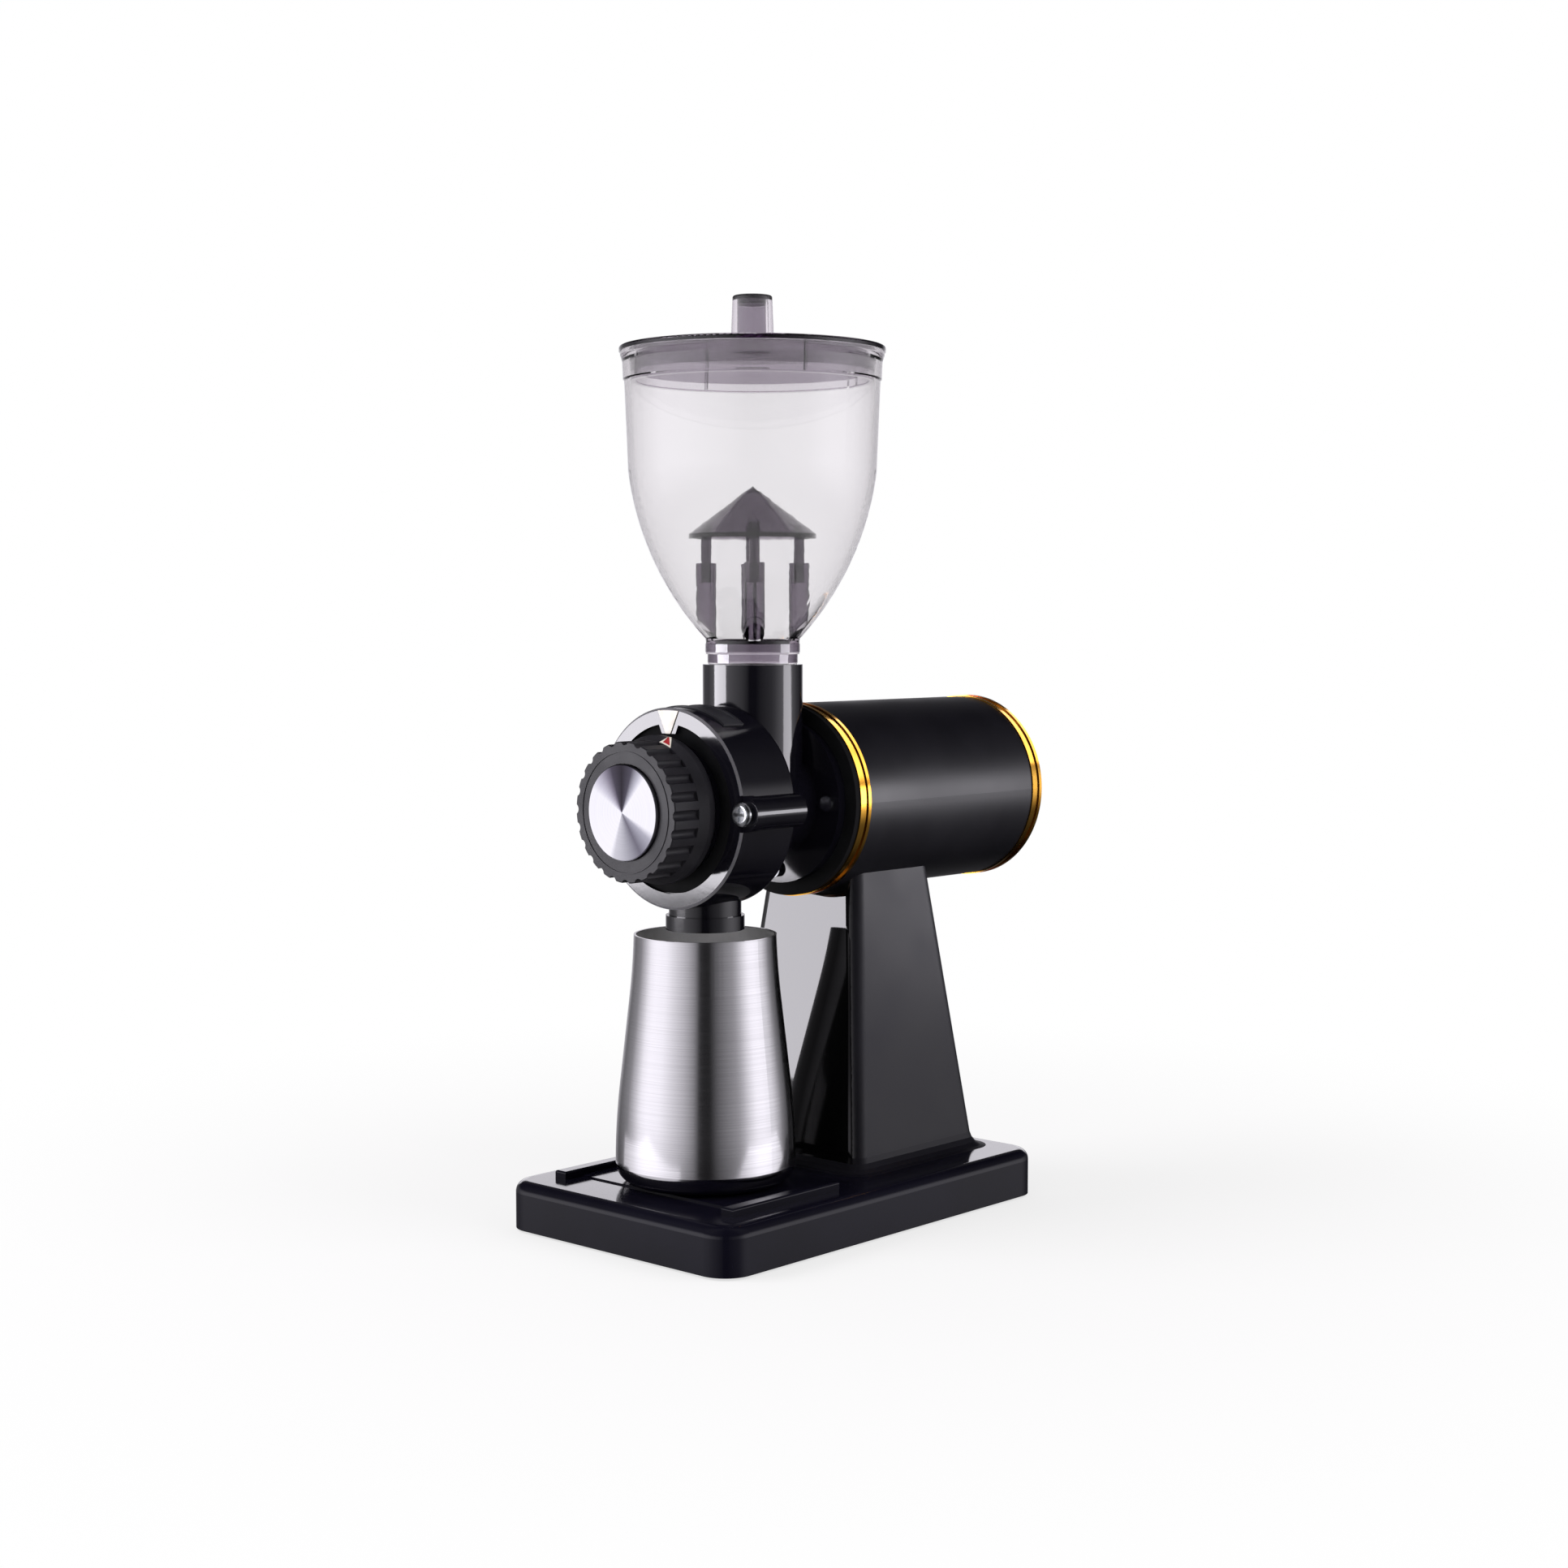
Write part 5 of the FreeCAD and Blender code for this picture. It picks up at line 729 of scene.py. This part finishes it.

# Tinted rings where clear plastic stands doubled: behind the rim, in the lid's knob and in the neck. The
# tinted sheet under the lid is painted shade, darkening its underside
tints = {
    "rim_band": {"body": "lid", "inside": 48.85, "outside": 49.03, "foot": 344.2, "top": 352.3},
    "knob_liner": {"body": "lid", "inside": 5.96, "outside": 6.12, "foot": 353.0, "top": 371.1},
    "knob_rim": {"body": "lid", "inside": 5.5, "outside": 6.12, "foot": 371.2, "top": 374.8},
    # painted shade: a tinted sheet that darkens the lid's underside
    "lid_film": {"body": "lid", "inside": 7.4, "outside": 46.7, "foot": 352.24, "top": 352.42},
    "neck_collar": {"body": "hopper", "inside": 19.02, "outside": 19.18, "foot": 232.3, "top": 235.7},
    "neck_band": {"body": "hopper", "inside": 18.12, "outside": 18.3, "foot": 228.1, "top": 231.5},
    "neck_liner": {"body": "hopper", "inside": 14.38, "outside": 14.5, "foot": 231.8, "top": 236.6},
}


# Points round an upright axis, for addTurned
def upright(axis):
    def place(turn, radius, z):
        return Vector((axis[0] + radius * math.cos(turn), axis[1] + radius * math.sin(turn), z)) * mm

    return place


def makeTints():
    for name, ring in tints.items():
        shape = bmesh.new()
        outline = [(ring[side], ring[end]) for side, end in
                   (("inside", "foot"), ("outside", "foot"), ("outside", "top"), ("inside", "top"))]
        addTurned(shape, outline, upright(hopperAxis))
        addPiece(name, shape, "smokySleeve", ring["body"])


makeTints()
print("tinted rings made")

# Blasted skin inside the cup, from under the rim to above the bend at its floor
cupLining = {"axis": (0, -60.95), "skin": 0.1,
             "wall": [(27.62, 120.0), (28.15, 108), (29.25, 96), (31.05, 80), (32.85, 64), (34.3, 45)]}


def makeCupLining():
    shape = bmesh.new()
    wall = cupLining["wall"]
    outline = wall + [(radius - cupLining["skin"], z) for radius, z in reversed(wall)]
    addTurned(shape, outline, upright(cupLining["axis"]))
    addPiece("cup_lining", shape, "blastedStainless", "cup")


makeCupLining()
print("cup lining made")

# Four short ribs that centre the lid's skirt in the rim, narrower outside and ramped at the foot
ribs = {"count": 4, "first": -22.8, "inside": 48.6, "outside": 49.22, "half": 0.8, "narrowed": 0.7,
        "foot": 341.2, "top": 352.3, "ramp": 1.2, "rampStart": 0.3}


def makeRibs():
    shape = bmesh.new()
    axis = Vector((*hopperAxis, 0))
    depth = ribs["outside"] - ribs["inside"]
    rampTop = ribs["foot"] + ribs["ramp"]
    for out in waysOut(ribs["count"], ribs["first"]):
        side = Vector((-out.y, out.x, 0)) * ribs["half"]
        farSide = side * ribs["narrowed"]
        rows = []
        for height, share in ((ribs["foot"], ribs["rampStart"]), (rampTop, 1.0), (ribs["top"], 1.0)):
            near = axis + out * ribs["inside"] + Vector((0, 0, height))
            far = axis + out * (ribs["inside"] + depth * share) + Vector((0, 0, height))
            corners = (near - side, near + side, far + farSide, far - farSide)
            rows.append([shape.verts.new(corner * mm) for corner in corners])
        for low, high in zip(rows, rows[1:]):
            for i in range(4):
                shape.faces.new((low[i], low[(i + 1) % 4], high[(i + 1) % 4], high[i]))
        shape.faces.new(rows[0])
        shape.faces.new(rows[-1])
    addPiece("lid_ribs", shape, "smokyGuard", "lid")


makeRibs()
print("lid ribs made")

# Setting mark on the knob's skirt: a red wedge on a cream one, its tip towards the pointer. turn and lean
# are in degrees, and skirt holds places along the motor's axis with their radii
mark = {"turn": 19, "lean": -6, "skirt": [(-92.45, 27.45), (-88.45, 29.3), (-86.35, 29.3)],
        "sunk": 0.15, "tip": 0.12, "rows": 12, "columns": 6,
        "edge": {"finish": "creamEnamel", "half": 3.2, "front": -92.3, "rear": -86.6, "rise": 0.10},
        "field": {"finish": "redEnamel", "half": 1.9, "front": -91.7, "rear": -87.9, "rise": 0.18}}


def skirtRadius(y):
    for (y0, r0), (y1, r1) in zip(mark["skirt"], mark["skirt"][1:]):
        if y <= y1:
            return r0 + (r1 - r0) * (y - y0) / (y1 - y0)
    return mark["skirt"][-1][1]


def makeMark():
    columns = mark["columns"]
    spread = [2 * j / columns - 1 for j in range(columns + 1)]
    for part in ("edge", "field"):
        look = mark[part]
        shape = bmesh.new()
        rows = []
        for i in range(mark["rows"] + 1):
            t = i / mark["rows"]
            half = look["half"] * (1 - t) + mark["tip"] * t
            middle = math.radians(mark["turn"] + mark["lean"] * t)
            y = look["front"] + (look["rear"] - look["front"]) * t
            row = []
            for radius in (skirtRadius(y) + look["rise"], skirtRadius(y) - mark["sunk"]):
                turns = [middle + half * share / radius for share in spread]
                row.append([shape.verts.new(aroundAxis(turn, radius, y)) for turn in turns])
            rows.append(row)
        for a, b in zip(rows, rows[1:]):
            for j in range(columns):
                shape.faces.new((a[0][j], a[0][j + 1], b[0][j + 1], b[0][j]))
                shape.faces.new((a[1][j], b[1][j], b[1][j + 1], a[1][j + 1]))
            for j in (0, columns):
                shape.faces.new((a[0][j], b[0][j], b[1][j], a[1][j]))
        for row in (rows[0], rows[-1]):
            for j in range(columns):
                shape.faces.new((row[0][j], row[0][j + 1], row[1][j + 1], row[1][j]))
        addPiece("setting_mark_" + part, shape, look["finish"], "knob")


makeMark()
print("setting mark made")

# On and off marks printed on the rocker's two slopes: a bar above, a ring below. ridge, upper and lower are
# x and z of the slopes' ends, bar is half its width and height, ring its two radii
rockerMarks = {"y": 27.6, "ridge": (-32.0, 95.5), "upper": (-31.5, 103.0), "lower": (-35.1, 88.8),
               "bar": (0.45, 1.8), "ring": (1.25, 1.75), "sunk": 0.1, "rise": 0.12, "steps": 40}


def makeRockerMarks():
    ridge = Vector((rockerMarks["ridge"][0], rockerMarks["y"], rockerMarks["ridge"][1]))
    across = Vector((0, 1, 0))
    depths = (-rockerMarks["sunk"], rockerMarks["rise"])
    shape = bmesh.new()
    for key in ("upper", "lower"):
        end = Vector((rockerMarks[key][0], rockerMarks["y"], rockerMarks[key][1]))
        middle = (ridge + end) / 2
        up = (end - middle).normalized()
        out = across.cross(up)
        out = -out if out.x > 0 else out
        if key == "upper":
            half, high = rockerMarks["bar"]
            corners = ((-half, -high), (half, -high), (half, high), (-half, high))
            ends = [[shape.verts.new((middle + across * a + up * b + out * rise) * mm) for a, b in corners]
                    for rise in depths]
            for i in range(4):
                k = (i + 1) % 4
                shape.faces.new((ends[0][i], ends[0][k], ends[1][k], ends[1][i]))
            shape.faces.new(ends[0])
            shape.faces.new(ends[1])
        else:
            outline = [(rockerMarks["ring"][i], depths[j]) for i, j in ((0, 0), (1, 0), (1, 1), (0, 1))]
            addTurned(shape, outline, lambda turn, radius, rise: (
                middle + across * radius * math.cos(turn) + up * radius * math.sin(turn) + out * rise) * mm,
                steps=rockerMarks["steps"])
    addPiece("rocker_marks", shape, "creamEnamel", "rocker")


makeRockerMarks()
print("rocker marks made")

# Flags: each softbox lights only the pieces that it names
for name, box in softboxes.items():
    lit = bpy.data.collections.new(name)
    for piece in box["lights"].split():
        known = frame["nodes"] if piece in frame["nodes"] else bpy.data.objects
        lit.objects.link(known[piece])
    bpy.data.objects[name].light_linking.receiver_collection = lit
print("softboxes flagged")
